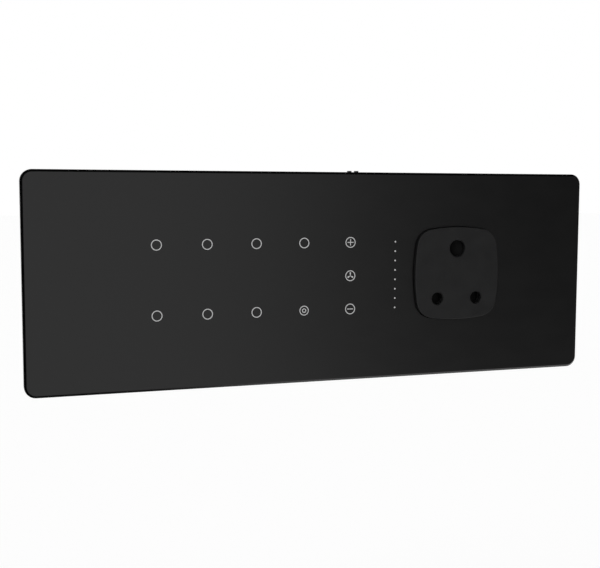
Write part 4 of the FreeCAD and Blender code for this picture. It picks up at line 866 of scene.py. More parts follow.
def spring_point(turns):
    """A point of the wire's centre line."""
    closed = min(turns, 1.0) + max(turns - (SPRING_TURNS - 1), 0.0)
    angle = turns * math.tau
    return Vector((
        spring_low.x + WIRE / 2 + closed * closed_pitch + (turns - closed) * open_pitch,
        spring_middle.y + spring_radius * math.cos(angle),
        spring_middle.z + spring_radius * math.sin(angle),
    ))


rings = []
for number in range(SPRING_TURNS * STEPS_A_TURN + 1):
    turns = number / STEPS_A_TURN
    centre = spring_point(turns)
    ahead = (spring_point(turns + 0.01) - spring_point(turns - 0.01)).normalized()
    outward = (centre - Vector((centre.x, spring_middle.y, spring_middle.z))).normalized()
    across = ahead.cross(outward)
    angles = [step * math.tau / WIRE_SIDES for step in range(WIRE_SIDES)]
    rings.append([
        centre + (outward * math.cos(angle) + across * math.sin(angle)) * WIRE / 2 for angle in angles
    ])
spring_piece = new_piece("shutter_spring_wound", skin(bmesh.new(), rings), "spring_steel", "shutter_spring")
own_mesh(spring_piece)

# %% [markdown]
# A sealed relay has a thin-walled cap with round edges, a sunk panel in its face and a vent nib that
# is broken off after soldering. The power module and the film capacitor are moulded blocks of the
# same family, so one helper makes them all, and the relays' feet too, each in its own finish.

# %% Relay caps, power module and film capacitor
NIB_INSET = 3.2 * MM


def cased_blocks(name, node, finish, corner, edge, panel=0.0, sink=0.0, nib=0.0):
    """Moulded blocks in place of a node's solids, with a nib on each if it has one."""
    shape = bmesh.new()
    for low, high in solids_of(node):
        moulded_block(shape, low, high, corner, edge, panel, sink)
        if nib:
            spot = Vector((high.x - NIB_INSET, low.y + sink * MM, high.z - NIB_INSET))
            turned(shape, spot, -ALONG_Y, ((-0.3, nib), (0.5 * sink, nib), (0.85 * sink, 0.6 * nib)), 20)
    new_piece(name, shape, finish, node)


cased_blocks("relay_caps", "relay_cases", "relay_case", 1.0, 0.7, 1.3, 0.35, nib=1.1)
cased_blocks("power_module_case", "power_module", "module_case", 0.8, 0.5, 1.2, 0.4)
cased_blocks("film_capacitor_box", "snubber_capacitor", "film_capacitor", 0.7, 0.6)
cased_blocks("relay_feet", "relay_bases", "relay_base", 0.5, 0.15)

# %% [markdown]
# An electrolytic capacitor is an aluminium can in a shrunk plastic sleeve. The can is rolled in at a
# groove near its foot, the sleeve folds over the rim of its top, and the bare top is scored with a
# cross so that it opens gently if it fails. All of it is round, so it is turned. The sleeve and the
# top are different stuff, so they are separate pieces. A strip down the sleeve marks the negative
# leg, and it is a bent skin that stands a hair proud of the sleeve.

# %% Supply capacitors
CAN_SIDES = 44


def around_y(degrees):
    """A direction across Y, turned from X towards Z."""
    angle = math.radians(degrees)
    return ALONG_X * math.cos(angle) + ALONG_Z * math.sin(angle)


sleeves = bmesh.new()
tops = bmesh.new()
strips = bmesh.new()
for low, high in solids_of("supply_capacitors"):
    centre = middle(low, high)
    top = low.y / MM
    foot = high.y / MM
    radius = (high.x - low.x) / 2 / MM
    axis_start = Vector((centre.x, 0, centre.z))
    turned(sleeves, axis_start, ALONG_Y, (
        (foot, radius - 0.7), (foot - 0.15, radius - 0.15), (foot - 0.5, radius), (foot - 1.7, radius),
        (foot - 2.0, radius - 0.3), (foot - 2.3, radius - 0.38), (foot - 2.6, radius - 0.3),
        (foot - 2.9, radius), (top + 0.5, radius), (top + 0.2, radius - 0.1), (top + 0.03, radius - 0.35),
        (top, radius - 0.7), (top + 0.06, radius - 1.0), (top + 0.3, radius - 1.05),
    ), CAN_SIDES)
    disc = turned(bmesh.new(), axis_start, ALONG_Y, (
        (top + 0.12, 0.4), (top + 0.12, radius - 1.3), (top + 0.2, radius - 1.02), (top + 0.6, radius - 1.02),
    ), CAN_SIDES)
    spot = Vector((centre.x, (top + 0.12) * MM, centre.z))
    score = Vector((0.09, 0.11, radius - 1.6)) * MM
    cuts = [add_box(bmesh.new(), spot - reach, spot + reach) for reach in (score, score.zyx)]
    copied(tops, carved(disc, *cuts))
    strip_rings = []
    for degrees in range(250, 293, 6):
        outer, inner = (around_y(degrees) * (radius + rise) for rise in (0.015, -0.1))
        ends = ((outer, top + 0.7), (outer, foot - 3.1), (inner, foot - 3.1), (inner, top + 0.7))
        strip_rings.append([axis_start + (reach + ALONG_Y * level) * MM for reach, level in ends])
    skin(strips, strip_rings)
new_piece("capacitor_sleeves", sleeves, "capacitor_sleeve", "supply_capacitors")
new_piece("capacitor_tops", tops, "heatsink_metal")
new_piece("capacitor_strips", strips, "tape_foam")

# %% [markdown]
# The surge varistor is a dipped disc: its coat is thick and lens-shaped, swells round the rim and runs
# a little way down the legs. A squashed sphere would be too pointed at the rim, so the outline is a
# fuller curve, made with a power above two.

# %% Varistor
SWELL = 3.2
FACE_RADIUS = 0.35
VARISTOR_LEG = 2.5

low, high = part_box("surge_varistor")
disc_radius = (high.x - low.x) / 2 / MM
half = (high.z - low.z) / 2 / MM
disc_middle = Vector(((low.x + high.x) / 2, low.y + disc_radius * MM, (low.z + high.z) / 2))
profile = []
for step in range(11):
    share = math.cos(math.pi * (1 - step / 10))
    fullness = (1 - abs(share) ** SWELL) ** (1 / SWELL)
    profile.append((share * half, FACE_RADIUS + (disc_radius - FACE_RADIUS) * fullness))
varistor = turned(bmesh.new(), disc_middle, ALONG_Z, profile, 44)
run = (high.y - disc_middle.y) / MM
rim = run - disc_radius
for side in (-1, 1):
    foot = Vector((disc_middle.x + side * VARISTOR_LEG * MM, high.y, disc_middle.z))
    turned(varistor, foot, -ALONG_Y, (
        (0.0, 0.3), (rim - 0.4, 0.32), (rim + 0.4, 0.75), (run - 3.0, 0.9), (run, 0.5),
    ), 16)
new_piece("varistor_disc", varistor, "varistor_coat", "surge_varistor")

# %% [markdown]
# The fuse is a ceramic tube with a pressed metal cap on each end. Both are round, so both are turned.
# The tube is let into the caps, and each cap has a rolled rim and a dimple where it was pressed.

# %% Fuse
CAP = 5.0

low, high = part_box("fuse_link")
fuse_radius = (high.z - low.z) / 2 / MM
fuse_length = (high.x - low.x) / MM
fuse_axis = middle(low, high)
fuse_start = Vector((low.x, fuse_axis.y, fuse_axis.z))
tube = turned(bmesh.new(), fuse_start, ALONG_X, (
    (0.5, fuse_radius - 0.35), (1.0, fuse_radius - 0.2),
    (fuse_length - 1.0, fuse_radius - 0.2), (fuse_length - 0.5, fuse_radius - 0.35),
), 40)
caps = bmesh.new()
for start, way in ((fuse_start, ALONG_X), (fuse_start + ALONG_X * fuse_length * MM, -ALONG_X)):
    turned(caps, start, way, (
        (0.12, 0.5), (0.12, fuse_radius - 1.0), (0.0, fuse_radius - 0.8), (0.0, fuse_radius - 0.3),
        (0.1, fuse_radius - 0.08), (0.3, fuse_radius), (CAP - 0.4, fuse_radius),
        (CAP - 0.3, fuse_radius - 0.06), (CAP - 0.15, fuse_radius - 0.02), (CAP, fuse_radius - 0.2),
    ), 40)
new_piece("fuse_tube", tube, "fuse_ceramic", "fuse_link")
new_piece("fuse_caps", caps, "clip_metal")

# %% [markdown]
# Legs, clips and copper tracks are all flat strip: it has a constant breadth, it is thin, and it only
# bends one way. A curve with a flat profile would thin out in sharp corners. So one helper, strap,
# follows a row of points and keeps the strip as thick in the corners as it is in the straight runs,
# by stretching each corner as a mitre does.

# %% Helper: flat strip
def strap(shape, points, across, thickness):
    """A flat strip through the points. Across is its breadth, square to the way it bends."""
    flat = across.normalized()
    rings = []
    for number, point in enumerate(points):
        ways = []
        if number > 0:
            ways.append((point - points[number - 1]).normalized())
        if number < len(points) - 1:
            ways.append((points[number + 1] - point).normalized())
        side = sum(ways, Vector()).normalized().cross(flat)
        half = side * 0.5 * thickness / side.dot(ways[0].cross(flat))
        rings.append([
            point + half + across / 2, point - half + across / 2,
            point - half - across / 2, point + half - across / 2,
        ])
    return skin(shape, rings)


print("strip helper ready")

# %% [markdown]
# The fan sign has three blades that meet in the middle. The solids are filled grooves, and a mill
# can't cut a groove that narrow, so the print closes the sign with three thin arms over the glass.
# An arm is a short strip, as thick as a layer of ink.

# %% Arms of the fan sign
INK = 0.04 * MM

sign_low, sign_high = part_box("fan_key_inlays")
sign_middle = middle(sign_low, sign_high)
sign_middle.y = sign_low.y
sign_arms = bmesh.new()
for degrees in (90, 210, 330):
    strap(sign_arms, [sign_middle, sign_middle + around_y(degrees) * 0.5 * MM], ALONG_Y * INK, 0.3 * MM)
new_piece("fan_sign_arms", sign_arms, "mark_enamel", body="front")

# %% [markdown]
# A terminal block is a row of poles. Each pole has a round well for the screwdriver in its back, a
# square funnel for the wire in its underside and a pocket for the clamp between them, and a groove
# marks it off from the next. In the mould each of these is a core, and here each is a cutter. One
# shape holds the same cutter for every pole, so that one cut makes the whole row, but kinds that
# run into each other are kept apart, because a cutter mustn't cross itself.

# %% Cutters of the terminal blocks
CLAMP_GAP = Vector((0.15, 0.15, 0.15)) * MM
GROOVE_DEPTH = 0.35 * MM
GROOVE_HALF = 0.2 * MM
SCREW_WELL = ((-0.5, 2.5), (0.0, 2.5), (0.25, 2.25), (2.0, 2.25))


def pole_cutters(low, high, poles):
    """Wells for the screwdriver, pockets for the clamps, and mouths and funnels for the wires."""
    wells, pockets, mouths, funnels = (bmesh.new() for number in range(4))
    for pole_low, pole_high in poles:
        centre = middle(pole_low, pole_high)
        turned(wells, Vector((centre.x, high.y, centre.z)), -ALONG_Y, SCREW_WELL)
        add_box(pockets, pole_low - CLAMP_GAP, pole_high + CLAMP_GAP)
        start = Vector((centre.x, centre.y - 0.6 * MM, low.z - 1 * MM))
        for cutter, half, depth in ((mouths, 2.75, 0.5), (funnels, 2.35, 2.0)):
            corner = Vector((half, half, 0)) * MM
            add_box(cutter, start - corner, start + corner + ALONG_Z * (1 + depth) * MM)
    return [wells, pockets, mouths, funnels]


def groove_cutters(low, high, seams):
    """Grooves in the back, the underside and the top, where one pole meets the next."""
    spans = (
        (high.y - GROOVE_DEPTH, high.y + MM, low.z - MM, high.z + MM),
        (low.y - MM, high.y + MM, low.z - MM, low.z + GROOVE_DEPTH),
        (low.y - MM, high.y + MM, high.z - GROOVE_DEPTH, high.z + MM),
    )
    cutters = []
    for y_low, y_high, z_low, z_high in spans:
        grooves = bmesh.new()
        for x in seams:
            start = Vector((x - GROOVE_HALF, y_low, z_low))
            add_box(grooves, start, Vector((x + GROOVE_HALF, y_high, z_high)))
        cutters.append(grooves)
    return cutters


print("terminal cutters ready")

# %% [markdown]
# The block itself has the same profile all along, with slanted edges where a finger or a wire meets
# it. We could cut the slants from a box too, but it is simpler to draw the profile once and run it
# along X. The clamps that stand within a block's length give its poles, and the two blocks are one
# piece in the end, as they are one node.

# %% Terminal blocks
def terminal_block(low, high, poles):
    """One block with its wells, funnels, pockets and grooves."""
    profile = (
        (low.y, low.z + 0.3 * MM), (low.y, high.z - 0.3 * MM), (low.y + 0.3 * MM, high.z),
        (high.y - 2.6 * MM, high.z), (high.y, high.z - 1.7 * MM), (high.y, low.z + 0.5 * MM),
        (high.y - 0.5 * MM, low.z), (low.y + 0.3 * MM, low.z),
    )
    block = skin(bmesh.new(), [[Vector((x, y, z)) for y, z in profile] for x in (low.x, high.x)])
    seams = [(left[1].x + right[0].x) / 2 for left, right in zip(poles, poles[1:])]
    return carved(block, *pole_cutters(low, high, poles), *groove_cutters(low, high, seams))


blocks = bmesh.new()
for low, high in solids_of("terminal_blocks"):
    poles = [clamp for clamp in solids_of("terminal_clamps") if low.x < clamp[0].x < high.x]
    copied(blocks, terminal_block(low, high, poles))
new_piece("terminal_block_cases", blocks, "terminal_plastic", "terminal_blocks")

# %% [markdown]
# The chips are small mouldings with a dimple that marks the first leg. Their legs are pressed from one
# strip of metal, so each is a strap through a few bends. Through-hole chips stand on legs that go
# straight down, and the touch chip has gull-wing legs, which bend out, down and out again so that
# their feet lie flat on the board.

# %% Shapes of chips and legs
DIMPLE = 0.5
THROUGH_HOLE = ((-0.2, 1.9), (0.55, 1.9), (0.85, 1.6), (0.85, -0.4))
GULL_WING = ((-0.1, 0.7), (0.3, 0.7), (0.55, 0.1), (1.0, 0.1))


def chip(bodies, low, high, facing):
    """A chip's body, with its first-leg dimple."""
    face = high.y if facing > 0 else low.y
    spot = Vector((low.x + 1.2 * MM, face, high.z - 1.2 * MM))
    mark = turned(bmesh.new(), spot, -ALONG_Y * facing, ((-0.5, DIMPLE), (0.12, 0.9 * DIMPLE)), 20)
    return copied(bodies, carved(moulded_block(bmesh.new(), low, high, 0.2, 0.25, facing=facing), mark))


def legs(shape, low, high, axis, count, pitch, bends, board, facing, breadth=0.5):
    """Rows of legs on the two sides of a chip that look along an axis."""
    centre = middle(low, high)
    other = 2 - axis
    across = Vector()
    across[other] = breadth * MM
    for side in (-1, 1):
        edge = high[axis] if side > 0 else low[axis]
        for number in range(count):
            points = []
            for out, height in bends:
                point = Vector((0, board + facing * height * MM, 0))
                point[axis] = edge + side * out * MM
                point[other] = centre[other] + (number - (count - 1) / 2) * pitch * MM
                points.append(point)
            strap(shape, points, across, 0.2 * MM)


print("chip helpers ready")

# %% [markdown]
# The driver chip has eight legs a side and the optocouplers have two. The touch chip sits on the
# back of the touch board and has legs on all four sides. We note the legs of the relay board's
# chips by node, because their solder joints need them again.

# %% Chips
LEGS_A_SIDE = {"relay_driver_chip": (8, 2.2), "optocouplers": (2, 2.54)}
BOARD_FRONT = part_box("relay_board")[0].y
TOUCH_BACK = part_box("touch_board")[1].y

chip_bodies = bmesh.new()
chip_legs = bmesh.new()
for node, (count, pitch) in LEGS_A_SIDE.items():
    for low, high in solids_of(node):
        raised = Vector((high.x, high.y - 0.4 * MM, high.z))
        chip(chip_bodies, low, raised, -1)
        legs(chip_legs, low, raised, 2, count, pitch, THROUGH_HOLE, BOARD_FRONT, -1)
new_piece("relay_board_chips", chip_bodies, "chip_epoxy", "relay_driver_chip", "optocouplers")
new_piece("relay_board_chip_legs", chip_legs, "tinned_steel")

low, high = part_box("touch_chip")
touch_body = chip(bmesh.new(), low + ALONG_Y * 0.1 * MM, high, 1)
touch_legs = bmesh.new()
for axis in (0, 2):
    legs(touch_legs, low, high, axis, 8, 1.0, GULL_WING, TOUCH_BACK, 1, 0.35)
new_piece("touch_chip_body", touch_body, "chip_epoxy", "touch_chip", body="front")
new_piece("touch_chip_legs", touch_legs, "tinned_steel", body="front")

# %% [markdown]
# The fan's triac is a power chip with a metal tab that a screw presses to the heat sink, because that
# is the way its heat goes. Its three legs go down into the board. The tab is a box with a bore, and
# the legs are straps joined to it, since they are one pressing.

# %% Triac
TAB = 1.3 * MM
TRIAC_PITCH = 2.54 * MM
TAB_SCREW_HEAD = 1.9

low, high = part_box("fan_triac")
case_low = Vector((low.x, low.y + 6 * MM, low.z))
case_high = Vector((high.x, high.y - 3.4 * MM, high.z - 0.05 * MM))
tab_low = Vector((low.x + 0.1 * MM, low.y, high.z - TAB))
tab_high = Vector((high.x - 0.1 * MM, low.y + 9 * MM, high.z))
tab_hole = Vector(((low.x + high.x) / 2, low.y + 2.8 * MM, high.z - TAB))
bore = turned(bmesh.new(), tab_hole, ALONG_Z, ((-1, 1.8), (3, 1.8)))
tab_and_legs = carved(add_box(bmesh.new(), tab_low, tab_high), bore)
for number in (-1, 0, 1):
    x = tab_hole.x + number * TRIAC_PITCH
    run = [Vector((x, y, high.z - 2.4 * MM)) for y in (high.y - 4 * MM, high.y + 0.2 * MM)]
    strap(tab_and_legs, run, ALONG_X * 0.8 * MM, 0.5 * MM)
tab_screw = screw_shape(2.75, TAB_SCREW_HEAD, 1.45, 6.0, "cross")
screw_place = tab_hole - ALONG_Z * TAB_SCREW_HEAD * MM
placed = copied(bmesh.new(), tab_screw, screw_place, Matrix.Rotation(math.pi / 2, 4, "X"))
new_piece("triac_case", chip(bmesh.new(), case_low, case_high, -1), "chip_epoxy", "fan_triac")
new_piece("triac_tab_and_legs", tab_and_legs, "tinned_steel")
new_piece("triac_screw", placed, "zinc_screw")

# %% [markdown]
# The fuse sits in two spring clips, bent from strip: a flat foot, two arms that follow the fuse round,
# and lips that open outwards so that it snaps in. We write one arm from its lip to the foot, with the
# round stretch as an arc, and mirror it.

# %% Fuse clips
GRIP = 2.82

arm = [(2.95, 1.3), (2.5, 0.75)]
for degrees in range(0, 61, 12):
    arm.append((GRIP * math.cos(math.radians(degrees)), -GRIP * math.sin(math.radians(degrees))))
arm += [(1.2, -4.2), (1.6, -4.4)]
outline = arm + [(-out, height) for out, height in reversed(arm)]
clips = bmesh.new()
for low, high in solids_of("fuse_clips"):
    x = (low.x + high.x) / 2
    points = [Vector((x, fuse_axis.y - height * MM, fuse_axis.z + out * MM)) for out, height in outline]
    strap(clips, points, ALONG_X * (high.x - low.x), 0.3 * MM)
new_piece("fuse_spring_clips", clips, "clip_metal", "fuse_clips")

# %% [markdown]
# The plug between the two boards has square pins with pointed ends. The radio sits under a drawn steel
# can with round corners and a few holes, and the end of its board that sticks out carries an aerial:
# a track folded back and forth, which only works where no metal covers it. So the pins are skins that
# narrow at both ends, the can is a moulded block with its holes cut, and the aerial is a strap.

# %% Plug pins, radio can and aerial
pins = bmesh.new()
for low, high in solids_of("header_pins"):
    levels = ((low.y, 0.2), (low.y + 0.5 * MM, 0.0), (high.y - 1.0 * MM, 0.0), (high.y, 0.24))
    skin(pins, [rounded_ring(low, high, level, 0.08 * MM, inset * MM, 2) for level, inset in levels])
new_piece("plug_pins", pins, "gilt_pin", "header_pins", body="front")

low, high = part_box("radio_shield")
can = moulded_block(bmesh.new(), low, high, 0.9, 0.45, facing=1)
vents = bmesh.new()
for row in range(3):
    for column in range(4):
        spot = Vector((low.x + (3 + 3 * column) * MM, high.y, low.z + (5 + 3 * row) * MM))
        turned(vents, spot, -ALONG_Y, ((-0.5, 0.5), (0.3, 0.5)), 18)
new_piece("radio_can", carved(can, vents), "tinned_steel", "radio_shield", body="front")

board_low, board_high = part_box("radio_board")
near_z = high.z + 1.0 * MM
far_z = board_high.z - 0.7 * MM
folds = [Vector((board_low.x + 2 * MM, board_high.y, high.z + 0.2 * MM))]
for number in range(6):
    x = board_low.x + (2 + 2.2 * number) * MM
    ends = (near_z, far_z) if number % 2 == 0 else (far_z, near_z)
    folds += [Vector((x, board_high.y, z)) for z in ends]
aerial = strap(bmesh.new(), folds, ALONG_Y * 0.1 * MM, 0.5 * MM)
new_piece("radio_aerial", aerial, "gilt_pin", body="front")

# %% [markdown]
# A track and a chip resistor turn up many times on the boards, so each has a helper. A track is a thin
# strap, and under it lies a broader, darker one, because the hatch is cleared round each track. A
# resistor is three small blocks in a row, whose outer two are its tinned ends.

# %% Helpers: tracks and small parts
tracks = bmesh.new()
clearings = bmesh.new()


def track(*corners):
    """A copper track through corners (x, z) in mm, and the strip that is cleared of hatch for it."""
    line = [Vector((x * MM, TOUCH_BACK, z * MM)) for x, z in corners]
    strap(tracks, line, ALONG_Y * 0.1 * MM, 0.32 * MM)
    strap(clearings, line, ALONG_Y * 0.04 * MM, 0.95 * MM)


def small_part(bodies, ends, x, z, board, facing, along_x=True, length=2.0, width=1.25, height=0.5):
    """A chip resistor with its two tinned ends, in mm, on a board."""
    stretches = ((0.0, 0.2, ends, 0.03), (0.2, 0.8, bodies, 0.0), (0.8, 1.0, ends, 0.03))
    for first, last, shape, extra in stretches:
        side = 0.5 * width + extra
        spans = [((first - 0.5) * length, (last - 0.5) * length), (-side, side)]
        if not along_x:
            spans.reverse()
        levels = sorted((board / MM, board / MM + facing * (height + extra)))
        low = Vector((x + spans[0][0], levels[0], z + spans[1][0])) * MM
        high = Vector((x + spans[0][1], levels[1], z + spans[1][1])) * MM
        moulded_block(shape, low, high, 0.05, 0.06, facing=facing)


print("track helpers ready")

# %% [markdown]
# The back of the touch board shows how it works. A track runs from a leg of the touch chip to each key
# in the two rows, and others come from the plug and the radio and fan out to the speed lamps. A
# texture can't lead a track to its key, so these are modelled. They never cross: the leg nearest the
# left takes the lowest level and goes to the farthest key, and all corners are cut at 45 degrees. A
# small resistor sits in each track to a key or a lamp.

# %% Tracks of the touch board
CHIP_REACH = 5.4
CUT = 1.2
RADIO_END = -55.0
LAMP_TURN = 27
LAMP_END = 31

chip_middle = middle(*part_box("touch_chip")) / MM
chip_left = chip_middle.x - CHIP_REACH
plug_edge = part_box("header_base")[1].z / MM + 0.05
electrodes = [middle(low, high) / MM for low, high in solids_of("touch_electrodes")]
resistors = bmesh.new()
resistor_ends = bmesh.new()
for way in (1, -1):
    edge = chip_middle.z + way * CHIP_REACH
    row = [key for key in electrodes if way * (key.z - edge) > 0]
    # The fourth key stands straight over the chip, and the fifth lies to its right.
    for number, key in enumerate(row):
        leg, rise, along = (3.5, 1.5, 1) if number == 4 else (number - 3.5, 0.9 + 0.8 * number, -1)
        start = chip_middle.x + leg
        level = edge + way * rise
        end = start if number == 3 else key.x - 2
        bends = [
            (start, level - 0.5 * way), (start + 0.5 * along, level),
            (end - CUT * along, level), (end, level + CUT * way),
        ]
        track((start, edge), *([] if number == 3 else bends), (end, key.z - 2 * way))
        small_part(resistors, resistor_ends, end, key.z - 4 * way, TOUCH_BACK, 1, along_x=False)
for level, (low, high) in enumerate(reversed(solids_of("header_pins")[-5:])):
    pin = middle(low, high).x / MM
    track((pin, plug_edge), (pin, level - 0.5), (pin + 0.5, level), (chip_left, level))
for level, leg in ((-4.1, -2.0), (-4.9, -3.0)):
    track((RADIO_END, level), (chip_left - (leg - level), level), (chip_left, leg))
for number, level in enumerate(sorted(middle(low, high).z / MM for low, high in solids_of("speed_lamps"))):
    leg = chip_middle.z - 3.5 + number
    turn_x = LAMP_TURN - abs(level - leg)
    track((chip_middle.x + CHIP_REACH, leg), (turn_x, leg), (LAMP_TURN, level), (LAMP_END, level))
    small_part(resistors, resistor_ends, (LAMP_TURN + LAMP_END) / 2, level, TOUCH_BACK, 1)
new_piece("touch_board_tracks", tracks, "track_lacquer", body="front", slot="touch_laminate")
new_piece("touch_board_clearings", clearings, "bare_lacquer", body="front", slot="touch_laminate")
new_piece("touch_board_resistors", resistors, "chip_epoxy", body="front")
new_piece("touch_board_resistor_ends", resistor_ends, "tinned_steel", body="front")

# %% [markdown]
# Each lamp is a white block with a tinned end on either side and a small dome of clear resin over the
# chip. It has the form of a chip resistor with a turned dome on it, so it is made the same way. The
# domes of the key lamps stand in the foam rings, so their light only reaches their own mark.

# %% Lamps of the keys and the dots
lamp_blocks = bmesh.new()
lamp_ends = bmesh.new()
lamp_domes = bmesh.new()
for low, high in solids_of("key_lamps") + solids_of("speed_lamps"):
    centre = middle(low, high)
    length, height, width = (high - low) / MM
    small_part(
        lamp_blocks, lamp_ends, centre.x / MM, centre.z / MM, high.y, -1,
        length=length, width=width - 0.06, height=height - 0.3,
    )
    dome = 0.36 * width
    turned(lamp_domes, Vector((centre.x, high.y, centre.z)), -ALONG_Y, (
        (height - 0.35, dome), (height - 0.2, 0.96 * dome), (height - 0.08, 0.76 * dome),
        (height - 0.01, 0.4 * dome), (height, 0.1 * dome),
    ), 20)
new_piece(
    "lamp_blocks", lamp_blocks, "fuse_ceramic", "key_lamps", "speed_lamps", body="front", slot="lamp_resin",
)
new_piece("lamp_ends", lamp_ends, "tinned_steel", body="front")
new_piece("lamp_domes", lamp_domes, "lamp_resin", body="front")

# %% [markdown]
# On the relay board a resistor and a diode sit beside each relay. Through-hole parts are soldered at
# the back: solder wets the leg and the ring of copper round it, and sets as a small hollow cone. We
# gather the places of all joints first, from the solids they belong to, and then turn a cone at each.

# %% Small parts and solder of the relay board
BOARD_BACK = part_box("relay_board")[1].y
PARTS_ROW = -6.8
RELAY_PINS = ((-6, -24.5), (6, -24.5), (0, -21.2))
LEG_SPREAD = (("supply_capacitors", 1.75), ("surge_varistor", 2.5), ("power_module", 14), ("fuse_clips", 1.6))
CONE = ((-0.1, 0.95), (0.06, 0.93), (0.22, 0.66), (0.5, 0.42), (0.9, 0.3), (1.1, 0.26), (1.2, 0.12))

small_bodies = bmesh.new()
small_ends = bmesh.new()
joints = []
for low, high in solids_of("relay_cases"):
    x = (low.x + high.x) / 2 / MM
    small_part(small_bodies, small_ends, x - 3, PARTS_ROW, BOARD_FRONT, -1, width=0.8)
    small_part(small_bodies, small_ends, x + 3, PARTS_ROW, BOARD_FRONT, -1, length=2.6, width=0.8, height=0.8)
    joints += [(x + across, z) for across, z in RELAY_PINS]
for low, high in solids_of("header_pins"):
    joints.append((middle(low, high).x / MM, middle(low, high).z / MM))
for node, (count, pitch) in LEGS_A_SIDE.items():
    for low, high in solids_of(node):
        for number in range(count):
            x = middle(low, high).x / MM + (number - (count - 1) / 2) * pitch
            joints += [(x, low.z / MM - 0.85), (x, high.z / MM + 0.85)]
for node, spread in LEG_SPREAD:
    for low, high in solids_of(node):
        centre = middle(low, high) / MM
        joints += [(centre.x - spread, centre.z), (centre.x + spread, centre.z)]
solder = bmesh.new()
for x, z in joints:
    turned(solder, Vector((x * MM, BOARD_BACK, z * MM)), ALONG_Y, CONE, 14)
new_piece("relay_board_small_parts", small_bodies, "chip_epoxy")
new_piece("relay_board_small_ends", small_ends, "tinned_steel")
new_piece("solder_joints", solder, "tinned_steel")

# %% [markdown]
# The photograph has a pure white ground. More light would make it that white, but it would bleach the
# panel too. So the world is white to the camera, to glossy rays and to rays through clear parts, and
# for light on the object it is only a soft fill. The Light Path node tells these rays apart.

# %% White world
FILL = 0.5
WHITE = (1, 1, 1)


def light_path_share(tree, names):
    """1 for the named kinds of ray, 0 for the others."""
    path = add_node(tree, "LightPath").outputs
    share = path[names[0]]
    for name in names[1:]:
        share = maths(tree, "MAXIMUM", share, path[name])
    return share


world = bpy.data.worlds.new("white room")
world.use_nodes = True
tree = world.node_tree
backdrop = tree.nodes["Background"].inputs
seen = light_path_share(tree, ["Is Camera Ray", "Is Glossy Ray", "Is Transmission Ray"])
feed(backdrop["Color"], WHITE)
feed(backdrop["Strength"], maths(tree, "ADD", maths(tree, "MULTIPLY", seen, 1 - FILL), FILL))
bpy.context.scene.world = world
print("the world lights the panel with", FILL)

# %% [markdown]
# The photograph shows no floor line either, so a white floor lies well below the panel, where it takes
# the shadow. It could be one of Blender's own planes, but a sheet through four corners also serves
# for the cards that come later. Its paint glows a little to the camera and to glossy rays, because a
# floor that is only lit comes out a shade greyer than the world behind it.

# %% Floor
FLOOR_LEVEL = -0.62
FLOOR_REACH = 30.0
FLOOR_GLOW = 0.12


def studio_sheet(name, corners, finish):
    """A flat sheet through four corners."""
    mesh = bpy.data.meshes.new(name)
    mesh.from_pydata(corners, [], [(0, 1, 2, 3)])
    sheet = put_in_scene(name, mesh)
    wear(sheet, finish)
    return sheet


tree, shader = start_finish("floor_paint", 0.9, specular=0.0)
glow = maths(tree, "MULTIPLY", light_path_share(tree, ["Is Camera Ray", "Is Glossy Ray"]), FLOOR_GLOW)
feed(shader["Base Color"], (0.95, 0.95, 0.95))
feed(shader["Emission Color"], WHITE)
feed(shader["Emission Strength"], glow)
floor_corners = [
    (x * FLOOR_REACH, y * FLOOR_REACH, FLOOR_LEVEL) for x, y in ((-1, -1), (1, -1), (1, 1), (-1, 1))
]
floor = studio_sheet("floor", floor_corners, "floor_paint")
print("floor", round(solid_low.z - FLOOR_LEVEL, 2), "m below the panel")

# %% [markdown]
# Two soft lamps give form: a main one from the upper left in front, and a weaker one from behind on
# the right, so that the back of the panel is lit too. Area lamps would fall off across the panel and
# show in its glass. Suns with a wide angle have soft shadows and the same strength everywhere, and
# these are kept out of glossy surfaces, because the room is what shows there.

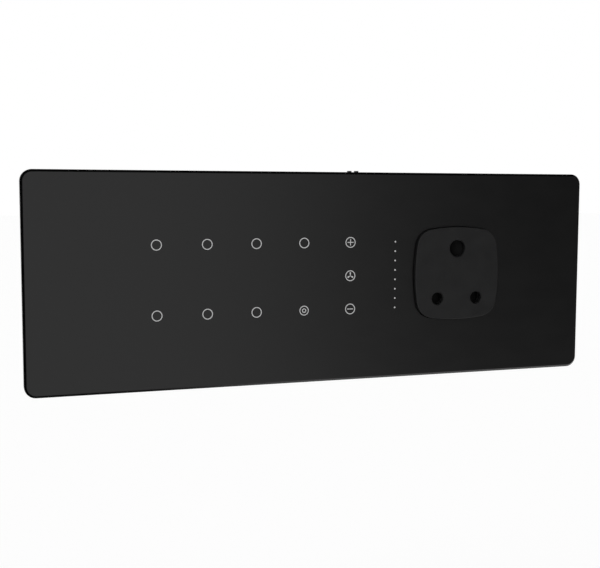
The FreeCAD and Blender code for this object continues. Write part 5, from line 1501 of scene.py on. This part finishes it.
# %% Studio lamps
def soft_sun(name, towards, strength, spread):
    """A sun lamp that shines along a direction."""
    lamp = put_in_scene(name, bpy.data.lights.new(name, "SUN"))
    lamp.data.energy = strength
    lamp.data.angle = math.radians(spread)
    lamp.rotation_euler = Vector(towards).to_track_quat("-Z", "Y").to_euler()
    lamp.visible_glossy = False
    print(name, "shines with", strength)


soft_sun("main lamp", (0.55, 0.75, -0.75), 1.35, 35)
soft_sun("back lamp", (-0.5, -0.8, -0.6), 0.8, 50)

# %% [markdown]
# A photographer shapes the sheen of black glass with black cards: what the glass mirrors is what we
# see. Paint on the glass could fake it, but it would be wrong from any other side. In the photograph
# the sheen fades from left to right, so a dark grey card stands at the front right. The slanted left
# and top edges are black, so cards stand at the left and overhead, and the bottom edge is black at
# its left half only. The cards show in reflections and nowhere else.

# %% Cards
CARD_DISTANCE = 1.5
GREY_GLOW = 0.1


def card_paint(slot, glow):
    """A paint that shines back nothing and glows a little."""
    shader = start_finish(slot, 1.0, specular=0.0)[1]
    feed(shader["Base Color"], (0, 0, 0))
    feed(shader["Emission Color"], WHITE)
    feed(shader["Emission Strength"], glow)


def card(name, corners, finish="black_card"):
    """A card that shows in reflections only."""
    sheet = studio_sheet(name, corners, finish)
    sheet.visible_camera = False
    sheet.visible_diffuse = False
    sheet.visible_shadow = False
    sheet.visible_transmission = False


card_paint("black_card", 0.0)
card_paint("grey_card", GREY_GLOW)
card_edge = CARD_DISTANCE * math.tan(math.radians(21.0))
card("front card", [
    (card_edge, -CARD_DISTANCE, -1.5), (4.5, -CARD_DISTANCE + 1.2, -1.5),
    (4.5, -CARD_DISTANCE + 1.2, 1.5), (card_edge, -CARD_DISTANCE, 1.5),
], "grey_card")
card("left card", [(-1.0, -0.9, -0.6), (-1.0, 0.9, -0.6), (-1.0, 0.9, 1.0), (-1.0, -0.9, 1.0)])
card("top card", [(-1.0, -0.7, 1.0), (1.5, -0.7, 1.0), (1.5, 0.9, 1.0), (-1.0, 0.9, 1.0)])
card("right card", [(1.6, -0.5, -0.6), (1.6, 2.2, -0.6), (1.6, 2.2, 1.0), (1.6, -0.5, 1.0)])
card("low card", [(-1.2, -0.5, -0.6), (0.11, -0.5, -0.6), (0.11, 0.7, -0.6), (-1.2, 0.7, -0.6)])
print("the front card stands", CARD_DISTANCE, "m in front")
